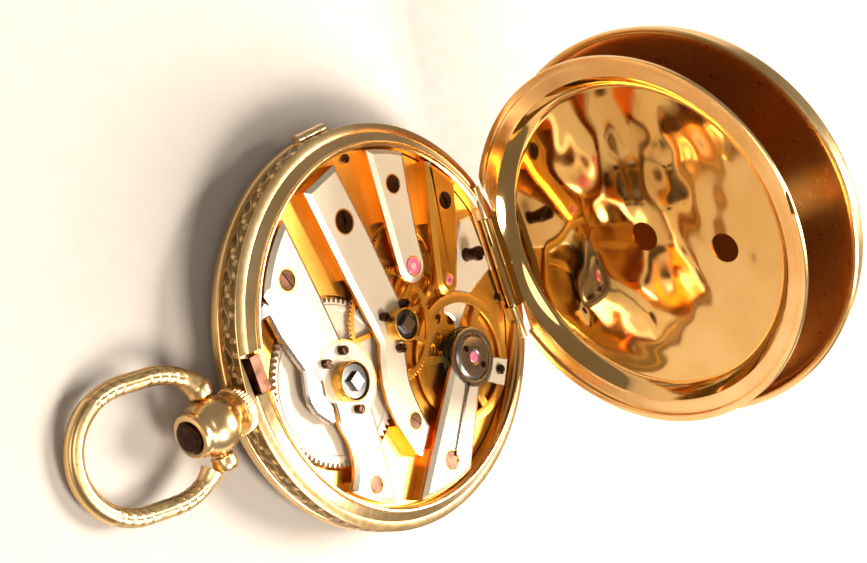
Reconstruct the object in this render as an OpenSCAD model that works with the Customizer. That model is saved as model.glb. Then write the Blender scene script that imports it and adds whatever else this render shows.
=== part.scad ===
// Open-face pocket watch with its back cover and dust cover swung open.
// Crystal lies on Z = 0, back of the watch faces +Z, pendant points to -Y.

/* [Case] */
// outer radius of the case rim
case_r = 20; // [16:0.5:25]
// height of the rim flange above the crystal's flat face
flange_z = 5.9; // [5.6:0.1:7.5]
// radius of the flat part of the crystal
crystal_flat_r = 13; // [9:0.5:15]
// thickness of the crystal
crystal_t = 0.8; // [0.6:0.1:1]
// running clearance between turning case parts
joint_gap = 0.05; // [0.03:0.01:0.1]

/* [Covers] */
// how far the back cover stands open
back_open_deg = 95.2; // [60:0.2:110]
// how far the dust cover stands open
dust_open_deg = 91; // [55:0.2:95]
// sheet thickness of both covers
cover_t = 0.35; // [0.25:0.05:0.5]
// radius of the key holes in the dust cover
key_hole_r = 1.5; // [1:0.1:1.7]

/* [Pendant and bow] */
// radius of the round pendant head
ball_r = 2.85; // [2.4:0.05:3]
// thickness of the bow's wire
bow_wire = 1.95; // [1.2:0.05:2.2]
// half width of the bow between wire centres
bow_half_w = 6; // [5.6:0.05:8]
// droop of the bow below level at rest
bow_droop_deg = 12.4; // [0:0.2:12.6]
// lean of the worn bow to the left
bow_lean_deg = 8; // [0:0.5:10]

/* [Movement] */
// radial room between the plate and the case opening
plate_gap = 0.1; // [0.03:0.01:0.25]
// thickness of the main plate
plate_t = 1.5; // [1.3:0.1:1.8]
// height of the bridges above the plate
bar_rise = 1.7; // [1.6:0.1:2.2]
// thickness of the bridges over the wheels
bar_t = 0.7; // [0.5:0.05:0.8]
// height of the square arbors above the bridges
post_h = 1.6; // [1:0.1:1.6]
// side of the square arbor ends
square_w = 1.35; // [1:0.05:1.5]

/* [Drawing] */
// node to draw, or all

/* [Hidden] */
$fn = 96;

eps = 0.01;
u = case_r / 20;                       // plan scale of everything fitted to the case
opening_r = 17.6 * u;
ledge_r = 19.1 * u;
lip_r = 18.15 * u;
plate_r = opening_r - plate_gap;
recess_r = 18.1 * u;
plate_top = flange_z - 0.6;
plate_z = plate_top - plate_t;
bar_top = plate_top + bar_rise;
bar_z = bar_top - bar_t;
dial_t = 0.5;
dial_z = crystal_t + 1.6 + (plate_z - 3.8);
motion_z = dial_z + dial_t;
band_z = flange_z - 2.5;
lip_top = bar_top + 0.05;
post_top = bar_top + post_h;
pendant_z = flange_z - 1.8;
pendant_y = -23.7 * u;
screw_head = 0.24;

wind_x = 2.2 * u;
wind_y = -8.85 * u;
third_x = -4.4 * u;
third_y = 4.7 * u;
fourth_x = -1.3 * u;
fourth_y = 8.9 * u;
escape_x = 3.4 * u;
escape_y = 7.8 * u;
balance_x = 6.9 * u;
balance_y = 8.4 * u;

barrel_z = plate_top - 0.8;
barrel_h = 1.2;
centre_z = plate_top + 0.62;
wheel_t = 0.2;
third_z = plate_top + 0.12;
fourth_z = plate_top - 0.55;
escape_z = plate_top - 0.25;
escape_cock_t = 0.2;
balance_z = plate_top + 0.28;
balance_t = 0.24;
hair_z = balance_z + 0.42;
pivot_r = 0.16;
arbor_r = 0.25;
jewel_r = 0.5;

module paint(c) { color(c) children(); }

// tooth shape as shares of the module: addendum, dedendum, then half widths at root, pitch and tip
wheel_tooth = [0.9, 1.2, 0.55, 0.36, 0.14];
leaf_tooth = [0.4, 1.4, 0.45, 0.3, 0.16];

function polar(r, a) = [r * cos(a), r * sin(a)];
function tooth(n, m, s, a) =
  let (h = 180 / n, r = n * m / 2)
  [polar(r - s[1] * m, a - s[2] * h), polar(r, a - s[3] * h), polar(r + s[0] * m, a - s[4] * h),
   polar(r + s[0] * m, a + s[4] * h), polar(r, a + s[3] * h), polar(r - s[1] * m, a + s[2] * h)];
function gear_outline(n, m, s, phase) =
  [for (i = [0:n - 1]) for (p = tooth(n, m, s, phase + i * 360 / n)) p];
function gear_module(n1, n2, x1, y1, x2, y2) = 2 * norm([x2 - x1, y2 - y1]) / (n1 + n2);
function heading(x1, y1, x2, y2) = atan2(y2 - y1, x2 - x1);
function plan(points) = [for (p = points) [p[0] * u, p[1] * u]];
function arc(cx, cy, r, a0, a1, n) = [for (i = [0:n]) [cx + r * cos(a0 + (a1 - a0) * i / n),
  cy + r * sin(a0 + (a1 - a0) * i / n)]];

module toothed(n, m, s, phase, z, h) {
  translate([0, 0, z]) linear_extrude(h) polygon(gear_outline(n, m, s, phase));
}

module rod(r, z0, z1) {
  translate([0, 0, z0]) cylinder(r = r, h = z1 - z0);
}

module ring(ro, ri, z0, z1) {
  difference() {
    rod(ro, z0, z1);
    rod(ri, z0 - 1, z1 + 1);
  }
}

// a wheel with straight spokes between its rim and hub
module spoked(n, m, phase, z, h, rim_w, hub_r, bore_r, spokes, spoke_w, a0) {
  root = n * m / 2 - 1.2 * m;
  difference() {
    union() {
      difference() {
        toothed(n, m, wheel_tooth, phase, z, h);
        rod(root - rim_w, z - 1, z + h + 1);
      }
      rod(hub_r, z, z + h);
      for (i = [0:spokes - 1]) rotate(a0 + i * 360 / spokes)
        translate([0, -spoke_w / 2, z]) cube([root - rim_w / 2, spoke_w, h]);
    }
    rod(bore_r, z - 1, z + h + 1);
  }
}

module slotted_screw(x, y, r, z, head, turn, depth) {
  translate([x * u, y * u, z]) difference() {
    union() {
      cylinder(r = r * u, h = head);
      translate([0, 0, -depth]) cylinder(r = r * u * 0.55, h = depth + eps);
    }
    rotate(turn) translate([-r * u - 1, -0.11, head - 0.14]) cube([2 * r * u + 2, 0.22, 1]);
  }
}

module screw_room(x, y, r, depth) {
  translate([x * u, y * u, bar_top - 0.25]) cylinder(r = r * u + 0.03, h = 1);
  translate([x * u, y * u, bar_top - depth]) cylinder(r = r * u * 0.55, h = depth + 1);
}

// ---- case ----

hinge_y = 17.2 * u;                    // dust cover hinge line
hinge_z = flange_z + 0.5;
hinge_half = 8 * u;
knuckle_r = 0.5;
pin_r = 0.22;
back_hinge_y = 19.9 * u;               // back cover hinge line
back_hinge_z = flange_z - 1.2;
back_half = 3 * u;
back_knuckle_r = 0.75;
bezel_x = -20.1 * u;                   // front bezel hinge line
bezel_hinge_z = flange_z - 2.05;
bezel_half = 2 * u;
bezel_knuckle_r = 0.6;

module hinge_rod(y, z, x0, x1, r) {
  translate([x0, y, z]) rotate([0, 90, 0]) cylinder(r = r, h = x1 - x0, $fn = 48);
}

module side_rod(x, z, y0, y1, r) {
  translate([x, y1, z]) rotate([90, 0, 0]) cylinder(r = r, h = y1 - y0, $fn = 48);
}

module case_middle() paint("goldenrod") {
  difference() {
    union() {
      rotate_extrude() polygon(concat(
        [[opening_r, plate_z + 0.5], [recess_r + 0.05, plate_z + 0.5], [recess_r + 0.05, band_z],
         [19 * u, band_z]],
        [for (i = [0:6]) [case_r - 0.35 + 0.35 * sin(i * 30), band_z + 0.15 + 2.1 * i / 6]],
        [[case_r - 0.3, flange_z - 0.2], [case_r, flange_z - 0.15], [case_r, flange_z],
         [ledge_r + 0.05, flange_z + 0.25], [ledge_r, flange_z + 0.25], [ledge_r - 0.05, flange_z + 0.32],
         [lip_r, flange_z + 0.7], [opening_r, flange_z + 0.7]]));
      for (s = [-1, 1]) hinge_rod(back_hinge_y, back_hinge_z, s * 2 * u - 0.9 * u, s * 2 * u + 0.9 * u,
        back_knuckle_r);
      for (s = [-1, 1]) side_rod(bezel_x, bezel_hinge_z, s * 1.45 * u - 0.5 * u, s * 1.45 * u + 0.5 * u,
        bezel_knuckle_r);
    }
    hinge_rod(back_hinge_y, back_hinge_z, -4 * u, 4 * u, pin_r);
    hinge_rod(back_hinge_y, back_hinge_z, -1.1 * u - joint_gap, 1.1 * u + joint_gap, back_knuckle_r + 0.25);
    side_rod(bezel_x, bezel_hinge_z, -4 * u, 4 * u, pin_r);
    side_rod(bezel_x, bezel_hinge_z, -0.95 * u - joint_gap, 0.95 * u + joint_gap, bezel_knuckle_r + 0.2);
    translate([-0.95 * u - 0.1, back_hinge_y - 0.55, back_hinge_z]) cube([1.9 * u + 0.2, 3, 3]);
    // seat of the dust cover's hinge
    translate([-hinge_half - 0.5, hinge_y - knuckle_r - 0.25, hinge_z - knuckle_r - 0.12])
      cube([2 * hinge_half + 1, 4, 3]);
    // slots of the latch and its stem, and the pendant's neck
    translate([-4.8 * u, -19.5 * u, flange_z - 1.3]) cube([4.3 * u, 2.6 * u, 3]);
    translate([0, 0, pendant_z]) rotate([90, 0, 0]) cylinder(r = 1.25, h = case_r + 2);
  }
}

module case_lip() paint("gold") {
  difference() {
    ring(lip_r, opening_r, flange_z + 0.7, lip_top);
    translate([-hinge_half - 0.5, hinge_y - knuckle_r - 0.25, 0]) cube([2 * hinge_half + 1, 4, 20]);
    translate([-4.8 * u, -19.5 * u, 0]) cube([4.3 * u, 3.2 * u, 20]);
  }
}

neck_r = 2.2;
neck_h = ball_r - 0.1;
module pendant() paint("goldenrod") {
  difference() {
    union() {
      translate([0, pendant_y, pendant_z]) sphere(r = ball_r);
      translate([0, pendant_y, pendant_z]) rotate([90, 0, 0]) cylinder(r = neck_r, h = neck_h);
      translate([0, -20.9 * u, pendant_z]) rotate([90, 0, 0]) cylinder(r = 1.6, h = 2);
    }
    translate([0, -18 * u, pendant_z]) rotate([90, 0, 0]) cylinder(r = 1, h = 12 * u);
    translate([0, pendant_y - neck_h + 0.75, pendant_z]) rotate([90, 0, 0]) cylinder(r = 1.55, h = 2);
    translate([-8, pendant_y, pendant_z]) rotate([0, 90, 0]) cylinder(r = 0.55, h = 16, $fn = 48);
  }
}

module pendant_collar() paint("goldenrod") {
  difference() {
    translate([0, -19.6 * u, pendant_z]) rotate([90, 0, 0]) linear_extrude(1.4 * u)
      polygon(gear_outline(48, 4.7 / 49, [0.4, 0.5, 0.5, 0.4, 0.2], 0));
    cylinder(r = case_r - 0.02, h = 30, center = true);
    translate([0, 0, flange_z - 0.1]) cylinder(r = back_rim_r + 0.1, h = 10);
    translate([0, -18 * u, pendant_z]) rotate([90, 0, 0]) cylinder(r = 1.25, h = 12 * u);
    translate([0, -20.9 * u, pendant_z]) rotate([90, 0, 0]) cylinder(r = 1.6, h = 4);
    translate([0, pendant_y, pendant_z]) sphere(r = ball_r);
  }
}

module push_piece() paint("sienna") {
  translate([0, pendant_y - neck_h, pendant_z]) rotate([90, 0, 0])
    rotate_extrude() polygon([[0, -0.9], [0.95, -0.9], [0.95, -0.25], [1.48, -0.2], [1.48, 0.3], [1.2, 0.45],
      [0, 0.5]]);
  translate([0, -18.6 * u, pendant_z]) rotate([90, 0, 0])
    cylinder(r = 0.8, h = abs(pendant_y) + neck_h - 18.6 * u);
}

module latch_nose() paint("dimgray") {
  translate([-4.5 * u, -19 * u, flange_z - 0.5]) cube([3.5 * u, 1.3 * u, 1.4]);
  translate([-2.2 * u, -19.1 * u, flange_z - 1.25]) cube([2.2 * u - 1, 0.45 * u, 0.8]);
  difference() {
    translate([-1.1, -19.1 * u, pendant_z - 0.2]) cube([0.5, 0.45 * u, 0.95]);
    translate([0, -18 * u, pendant_z]) rotate([90, 0, 0]) cylinder(r = 0.8, h = 4);
  }
}

bow_far = 14.05 * u;
bow_near_c = 5.3 * u;
bow_far_c = bow_far - bow_half_w;
bow_end_deg = acos(4.1 * u / bow_half_w);

module at_bow() {
  translate([0, pendant_y, pendant_z]) rotate([bow_droop_deg, 0, 0]) children();
}

module bow() paint("goldenrod") at_bow() difference() {
  union() {
    rotate([0, 0, -bow_lean_deg]) {
      translate([0, -bow_far_c, 0]) rotate([0, 0, 180]) rotate_extrude(angle = 180)
        translate([bow_half_w, 0]) circle(d = bow_wire, $fn = 40);
      for (s = [0, 1]) mirror([s, 0, 0]) {
        translate([bow_half_w, -bow_near_c, 0]) rotate([90, 0, 0])
          cylinder(d = bow_wire, h = bow_far_c - bow_near_c, $fn = 40);
        translate([0, -bow_near_c, 0]) rotate_extrude(angle = bow_end_deg)
          translate([bow_half_w, 0]) circle(d = bow_wire, $fn = 40);
      }
    }
    for (s = [0, 1]) mirror([s, 0, 0]) translate([ball_r + 0.1, 0, 0]) rotate([0, 90, 0])
      cylinder(r = 1.25, h = eye_w);
  }
  translate([-8 * u, 0, 0]) rotate([0, 90, 0]) cylinder(r = 0.5, h = 16 * u, $fn = 48);
}

eye_w = 1.5;
module bow_screws() paint("goldenrod") at_bow() for (s = [0, 1]) mirror([s, 0, 0])
  translate([1.6, 0, 0]) rotate([0, 90, 0]) difference() {
    cylinder(r = 0.5, h = ball_r + 0.1 + eye_w - 1.6, $fn = 48);
    translate([-1, -0.08, ball_r + eye_w - 1.65]) cube([2, 0.16, 1]);
  }

module bezel_clear() {
  side_rod(bezel_x, bezel_hinge_z, -2.2 * u, 2.2 * u, bezel_knuckle_r + 0.15);
}

module front_bezel() paint("goldenrod") {
  difference() {
    union() {
      difference() {
        rotate_extrude() polygon([[17.5 * u, 1.7], [17.7 * u, 1.35], [18.6 * u, 1.25], [19.5 * u, 1.75],
          [19.9 * u, 2.5], [19.9 * u, band_z - 0.2], [19.6 * u, band_z - 0.08], [18.3 * u, band_z - 0.08],
          [18 * u, band_z - 0.4], [17.5 * u, band_z - 0.9]]);
        bezel_clear();
      }
      side_rod(bezel_x, bezel_hinge_z, -0.9 * u, 0.9 * u, bezel_knuckle_r);
      translate([bezel_x - 0.3, -0.9 * u, band_z - 0.75]) cube([0.9, 1.8 * u, 0.85]);
    }
    side_rod(bezel_x, bezel_hinge_z, -4 * u, 4 * u, pin_r + joint_gap);
    rod(17.5 * u, 0, 10);
  }
}

module crystal() paint("aliceblue") {
  rotate_extrude() polygon(concat([[0, 0], [crystal_flat_r * u, 0]],
    [for (i = [1:6]) [(crystal_flat_r + (17.5 - crystal_flat_r) * sin(i * 15)) * u, 1.9 - 1.9 * cos(i * 15)]],
    [[17.5 * u, 2.35], [17 * u, 2.35]],
    [for (i = [6:-1:0]) [(crystal_flat_r - 0.3 + (17.1 - crystal_flat_r) * sin(i * 15)) * u,
      crystal_t + 1.4 - 1.4 * cos(i * 15)]],
    [[0, crystal_t]]));
}

module bezel_pin() paint("goldenrod") side_rod(bezel_x, bezel_hinge_z, -1.95 * u, 1.95 * u, pin_r);

module back_pin() paint("goldenrod") hinge_rod(back_hinge_y, back_hinge_z, -2.9 * u, 2.9 * u, pin_r);

module swung(y, z, a) {
  translate([0, y, z]) rotate([-a, 0, 0]) translate([0, -y, -z]) children();
}

// covers are drawn shut and swung to where they stand
back_rim_r = 20.15 * u;
back_in_r = 19.5 * u;
dome_edge_z = flange_z + 1.9;
dome_top_z = max(flange_z + 4.4, post_top + 1.6);
function dome(r_edge, z_edge, z_top, r) = z_edge + (z_top - z_edge) * pow(1 - pow(r / r_edge, 2.6), 1 / 2.6);

module back_cover() paint("goldenrod") swung(back_hinge_y, back_hinge_z, back_open_deg) {
  difference() {
    union() {
      rotate_extrude() polygon(concat(
        [[back_in_r, flange_z + 0.15], [back_rim_r - 0.15, flange_z + 0.12], [back_rim_r, flange_z + 0.3],
         [back_rim_r, flange_z + 0.75], [back_rim_r - 0.3, flange_z + 1.05]],
        [for (i = [0:10]) let (r = (back_rim_r - 0.3) * cos(i * 9)) [r, dome(back_rim_r - 0.3, dome_edge_z,
          dome_top_z, r)]],
        [for (i = [10:-1:0]) let (r = back_in_r * cos(i * 9)) [r, dome(back_in_r, dome_edge_z - 0.2,
          dome_top_z - cover_t, r)]]));
      translate([-0.95 * u, back_hinge_y - 0.45, back_hinge_z]) cube([1.9 * u, 0.95, 2]);
      hinge_rod(back_hinge_y, back_hinge_z, -1.1 * u + joint_gap, 1.1 * u - joint_gap, back_knuckle_r);
    }
    hinge_rod(back_hinge_y, back_hinge_z, -4 * u, 4 * u, pin_r + joint_gap);
  }
}

dust_rim_r = 19.05 * u;
dust_z = flange_z + 0.95;
dust_in_top = post_top + 0.2;

module cuvette() paint("gold") swung(hinge_y, hinge_z, dust_open_deg) {
  difference() {
    union() {
      difference() {
        rotate_extrude() polygon(concat(
          [[18.35 * u, dust_z], [dust_rim_r, dust_z], [dust_rim_r, dust_z + 0.5], [18.6 * u, dust_z + 0.75]],
          [for (i = [0:6]) let (r = (17.2 - 1.5 * i / 6) * u) [r, dust_z + 0.9 + (dust_in_top + cover_t - dust_z
            - 0.9) * sin(i * 15)]],
          [[0, dust_in_top + cover_t], [0, dust_in_top]],
          [for (i = [6:-1:0]) let (r = (16.9 - 1.5 * i / 6) * u) [r, dust_z + 0.5 + (dust_in_top - dust_z - 0.5)
            * sin(i * 15)]],
          [[18.35 * u, dust_z + 0.45]]));
        translate([-30, hinge_y - knuckle_r - 0.1, 0]) cube([60, 20, 30]);
        translate([-4.8 * u, -20 * u, 0]) cube([4.1 * u, 1.3 * u, dust_z + 0.25]);
      }
      translate([-hinge_half * 0.6, hinge_y - knuckle_r - 0.4, hinge_z])
        cube([hinge_half * 1.2, knuckle_r + 0.5, 0.95]);
      hinge_rod(hinge_y, hinge_z, -hinge_half * 0.6, hinge_half * 0.6, knuckle_r);
    }
    hinge_rod(hinge_y, hinge_z, -hinge_half, hinge_half, pin_r + joint_gap);
    rod(key_hole_r, 5, 20);
    translate([wind_x, wind_y, 0]) rod(key_hole_r, 5, 20);
  }
}

module cuvette_pin() paint("goldenrod") {
  hinge_rod(hinge_y, hinge_z, -hinge_half * 0.95, hinge_half * 0.95, pin_r);
  for (s = [0, 1]) mirror([s, 0, 0]) difference() {
    union() {
      hinge_rod(hinge_y, hinge_z, hinge_half * 0.6 + joint_gap, hinge_half + 0.3, knuckle_r);
      translate([hinge_half * 0.6 + joint_gap, hinge_y - knuckle_r, hinge_z - knuckle_r - 0.12])
        cube([hinge_half * 0.4 + 0.25, 2 * knuckle_r, knuckle_r + 0.12]);
    }
    hinge_rod(hinge_y, hinge_z, 0, hinge_half * 0.95, pin_r);
  }
}

// ---- movement ----

module main_plate() paint("khaki") difference() {
  union() {
    rod(plate_r, plate_z, plate_top);
    rod(recess_r, plate_z, plate_z + 0.5);
    translate([minute_x, 0, 0]) rod(0.3, motion_z + 0.05, plate_z + eps);
  }
  translate([wind_x, wind_y, 0]) rod(8.4 * u, barrel_z - 0.1, 20);
  translate([wind_x, wind_y, 0]) rod(0.62, 0, 20);
  rod(0.75, 0, 20);
  rod(1.7 * u, barrel_z - 0.1, 20);
  translate([fourth_x, fourth_y, 0]) rod(4.75 * u, fourth_z - 0.1, 20);
  translate([escape_x, escape_y, 0]) rod(3.4 * u, escape_z - 0.1, 20);
  translate([escape_x, escape_y, 0]) rod(0.75 * u, fourth_z - 0.1, 20);
  for (p = [[third_x, third_y], [fourth_x, fourth_y], [escape_x, escape_y], [balance_x, balance_y]])
    translate([p[0], p[1], 0]) rod(pivot_r + 0.03, plate_z + 0.4, 20);
  for (a = case_screw_deg) rotate(a) translate([16.9 * u, 0, 0]) rod(0.45, plate_z + 0.1, 20);
}

case_screw_deg = [78, 173];
module case_screws() paint("saddlebrown") for (a = case_screw_deg) rotate(a) translate([16.9 * u, 0, 0])
  difference() {
    rod(0.45, plate_z + 0.1, plate_top + 0.35);
    translate([-1, -0.1, plate_top + 0.2]) cube([2, 0.2, 1]);
  }

module dial() paint("white") difference() {
  union() {
    rod(17.3 * u, dial_z, motion_z);
    for (a = [30, 150, 270]) rotate(a) translate([14.5 * u, 0, 0]) rod(0.4, motion_z - eps, plate_z);
  }
  rod(1.25, 0, 10);
}

module set_arbor() paint("gray") {
  rod(0.35, dial_z - 1.1, post_top - 0.7);
  rod(0.62, motion_z + 0.02, plate_z + 0.6);
  toothed(12, 5 * u / 24, leaf_tooth, 15, motion_z + 0.45, 0.4);
  rod(1.25 * u, bar_top + 0.1, post_top - 0.75);
  translate([0, 0, post_top - 0.8]) rotate(28) translate([-square_w / 2, -square_w / 2, 0])
    cube([square_w, square_w, 0.8]);
}

module minute_hand() paint("midnightblue") difference() {
  union() {
    translate([0, 0, dial_z - 0.95]) linear_extrude(0.15)
      polygon(plan([[-0.35, -3], [0.35, -3], [0.22, 0], [0.3, 8], [0, 15], [-0.3, 8], [-0.22, 0]]));
    rod(0.8, dial_z - 0.95, dial_z - 0.8);
  }
  rod(0.35, 0, 10);
}

module hour_hand() paint("midnightblue") rotate(-60) difference() {
  union() {
    translate([0, 0, dial_z - 0.6]) linear_extrude(0.15)
      polygon(plan([[-0.3, -2], [0.3, -2], [0.3, 6], [0.9, 7.5], [0, 10], [-0.9, 7.5], [-0.3, 6]]));
    rod(1.1, dial_z - 0.6, dial_z - 0.45);
  }
  rod(0.75, 0, 10);
}

minute_x = 5 * u;
module hour_wheel() paint("gold") difference() {
  union() {
    toothed(40, 10 * u / 50, wheel_tooth, 0, motion_z + 0.1, 0.15);
    rod(1.1, dial_z - 0.45, motion_z + 0.1 + eps);
  }
  rod(0.68, 0, 10);
}

module minute_wheel() paint("gold") translate([minute_x, 0, 0]) difference() {
  union() {
    toothed(36, 5 * u / 24, wheel_tooth, 180, motion_z + 0.5, 0.2);
    toothed(10, 10 * u / 50, leaf_tooth, 180 + 18, motion_z + 0.08, 0.42 + eps);
  }
  rod(0.35, 0, 10);
}

module barrel_at() { translate([wind_x, wind_y, 0]) children(); }
barrel_m = gear_module(80, 12, wind_x, wind_y, 0, 0);
to_centre = heading(wind_x, wind_y, 0, 0);

module barrel_drum() paint("silver") barrel_at() difference() {
  union() {
    rod(7.55 * u, barrel_z, barrel_z + barrel_h - 0.15);
    toothed(80, barrel_m, wheel_tooth, to_centre, barrel_z + barrel_h - 0.65, 0.5);
  }
  rod(6.9 * u, barrel_z + 0.25, 20);
  rod(1.0, 0, 20);
}

module barrel_cover() paint("lightgray") barrel_at()
  ring(6.9 * u, 1.0, barrel_z + barrel_h - 0.3, barrel_z + barrel_h - 0.15);

module mainspring() paint("slategray") barrel_at() translate([0, 0, barrel_z + 0.25])
  linear_extrude(barrel_h - 0.65) polygon(concat(
    [for (i = [0:150]) polar((3 + 3.6 * i / 150) * u, i * 16)],
    [for (i = [150:-1:0]) polar((2.88 + 3.6 * i / 150) * u, i * 16)]));

module barrel_arbor() paint("gray") barrel_at() {
  rod(0.55, plate_z + 0.2, bar_top);
  rod(0.9, barrel_z + 0.3, barrel_z + barrel_h - 0.4);
  rod(0.9, bar_z + 0.2, bar_top + 0.1);
  rod(1.45 * u, bar_top + 0.1, post_top - 0.75);
  translate([0, 0, post_top - 0.8]) rotate(22) translate([-square_w / 2, -square_w / 2, 0])
    cube([square_w, square_w, 0.8]);
}

module winding_sleeve() paint("peru") barrel_at() ring(1.95 * u, 1.6 * u, bar_top, post_top - 0.3);
module centre_sleeve() paint("peru") ring(1.65 * u, 1.4 * u, bar_top, post_top - 0.3);

module ratchet_wheel() paint("lightsteelblue") barrel_at() difference() {
  toothed(26, 4 * u / 26, [0.7, 0.8, 0.7, 0.4, 0.15], 0, bar_z + 0.25, 0.2);
  rod(0.9, 0, 20);
}

// edge of the click spring nearest the barrel bridge
spring_edge = [[-8, -14.5], [-5, -13.95], [-0.6, -12.45], [0.9, -11.6], [2.4, -11.85], [3.3, -11.3],
  [3.5, -10.9], [4.4, -10.9], [5.6, -11.2]];

module ratchet_cap() paint("ghostwhite") difference() {
  barrel_at() ring(3.95 * u, 1.6 * u, bar_top - 0.22, bar_top);
  edge_room();
  for (p = cap_screw_plan) translate([p[0] * u, p[1] * u, 0]) rod(0.46 * 0.55 * u, 0, 20);
}

module edge_room() translate([0, 0, bar_z - 1]) linear_extrude(3)
  polygon(plan(concat([[-8, -18]], spring_edge, [[5.6, -18]])));

cap_screw_plan = [[-0.75, -8.2], [-0.4, -10.75], [5.15, -8.65]];
module cap_screws() paint("saddlebrown") for (i = [0:2])
  slotted_screw(cap_screw_plan[i][0], cap_screw_plan[i][1], 0.46, bar_top, 0.7, 60 * i + 15, 0.4);

module click_spring() paint("dimgray") rim_side(17.3 * u) union() {
  translate([0, 0, bar_z + 0.05]) linear_extrude(bar_t - 0.1) polygon(plan(concat([[-8.6, -15.3]],
    [for (p = spring_edge) if (p[0] < 3) [p[0], p[1] - 0.12]], [[3.38, -11.38], [3.6, -11.28], [5.3, -11.6],
    [5.1, -12.3], [3.5, -13.6], [2.3, -14], [1.2, -13.9], [-0.8, -13.35], [-4.7, -14.75], [-7, -15.2],
    [-7, -16.2], [-8.3, -15.75]])));
  translate([-7.4 * u, -15.45 * u, plate_top]) cylinder(r = 0.4 * u, h = bar_z - plate_top + 0.1);
}

module rim_side(r) { intersection() { rod(r, plate_top - 1, 20); children(); } }

module barrel_bridge() paint("ivory") difference() {
  rim_side(17.4 * u) union() {
    translate([0, 0, bar_z]) linear_extrude(bar_t) polygon(plan(concat(
      [[-20, -10.1], [-15, -9.5], [-7, -8.2], [-1.6, -7.5], [5.4, -6.5], [9.5, -6.8], [20, -8.2], [20, -16],
       [12.3, -12.75]], arc(8.1, -16.3, 5.5, 38, 110, 8), [for (i = [len(spring_edge) - 1:-1:0]) spring_edge[i]],
      [[-8.9, -14.8], [-9.2, -20], [-20, -20]])));
    translate([0, 0, plate_top]) linear_extrude(bar_rise - bar_t + eps) polygon(plan([[-20, -10.1], [-15, -9.5],
      [-7.6, -8.3], [-7.1, -11.5], [-8.9, -14.8], [-9.2, -20], [-20, -20]]));
    translate([0, 0, plate_top]) linear_extrude(bar_rise - bar_t + eps) polygon(plan([[11.3, -7], [20, -8.2],
      [20, -16], [12.3, -12.75], [11.3, -11.9]]));
  }
  barrel_at() rod(4 * u, bar_top - 0.22, 20);
  barrel_at() rod(2.3 * u, bar_z + 0.2, 20);
  barrel_at() rod(0.65, 0, 20);
  for (p = cap_screw_plan) translate([p[0] * u, p[1] * u, bar_top - 0.45]) cylinder(r = 0.46 * u * 0.55, h = 1);
  screw_room(-9.3, -11.7, 1.05, 1.2);
  screw_room(12.65, -9.5, 0.9, 1.2);
}

module centre_bridge() paint("ivory") difference() {
  rim_side(17.3 * u) union() {
    translate([0, 0, bar_z]) linear_extrude(bar_t) polygon(plan([[-17, -0.9], [-9.8, 0.5], [-2, 1.65],
      [0, 2.1], [1.9, 0.4], [4.9, -0.45], [6, -0.6], [7.5, -0.5], [9.8, -0.2], [10.8, 0], [13, -2.2],
      [12.6, -2.7], [8.7, -4], [6.5, -4.25], [4.5, -4.1], [2.5, -3.5], [0.9, -2.75], [-1, -3.05],
      [-6.2, -4.1], [-15.9, -5.8]]));
    translate([0, 0, plate_top]) linear_extrude(bar_rise - bar_t + eps) polygon(plan([[-17, -0.9],
      [-9.8, -0.35], [-6.4, -0.3], [-6.4, -4.15], [-15.9, -5.8]]));
    translate([0, 0, plate_top]) linear_extrude(bar_rise - bar_t + eps) polygon(plan([[9, -0.3], [9.8, -0.2],
      [10.8, 0], [13, -2.2], [12.6, -2.7], [9, -3.9]]));
  }
  rod(0.42, 0, 20);
  screw_room(-11.65, -2.3, 1.15, 1.2);
  screw_room(9.35, -1.85, 0.85, 1.2);
  for (p = sleeve_screw_plan) translate([p[0] * u, p[1] * u, bar_top - 0.45]) cylinder(r = 0.45 * u * 0.55, h = 1);
}

sleeve_screw_plan = [[2.1, -0.85], [-1.5, -1.65], [-1.7, 1.45]];

centre_m = gear_module(80, 10, 0, 0, third_x, third_y);
to_third = heading(0, 0, third_x, third_y);
module centre_wheel() paint("gold") difference() {
  union() {
    spoked(80, centre_m, to_third, centre_z, wheel_t, 0.45 * u, 1.3 * u, 0.42, 5, 0.5 * u, -95);
    toothed(12, barrel_m, leaf_tooth, to_centre + 180 + 15, barrel_z, centre_z - barrel_z + eps);
    rod(0.62, plate_z + 0.65, barrel_z + eps);
  }
  rod(0.4, 0, 20);
}

third_m = gear_module(75, 10, third_x, third_y, fourth_x, fourth_y);
to_fourth = heading(third_x, third_y, fourth_x, fourth_y);
module third_wheel() paint("gold") translate([third_x, third_y, 0]) {
  spoked(75, third_m, to_fourth, third_z, wheel_t, 0.4 * u, 0.8 * u, 0.1, 5, 0.4 * u, 20);
  toothed(10, centre_m, leaf_tooth, to_third + 180 + 18, third_z + wheel_t - eps, 0.62);
  rod(pivot_r, plate_z + 0.45, bar_top - 0.15);
}

fourth_m = gear_module(80, 8, fourth_x, fourth_y, escape_x, escape_y);
to_escape = heading(fourth_x, fourth_y, escape_x, escape_y);
module fourth_wheel() paint("gold") translate([fourth_x, fourth_y, 0]) {
  spoked(80, fourth_m, to_escape, fourth_z, 0.17, 0.4 * u, 0.8 * u, 0.1, 5, 0.35 * u, 5);
  toothed(10, third_m, leaf_tooth, to_fourth + 180 + 18, fourth_z + 0.17 - eps, 1.05);
  rod(pivot_r, plate_z + 0.45, bar_top - 0.15);
}

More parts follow.
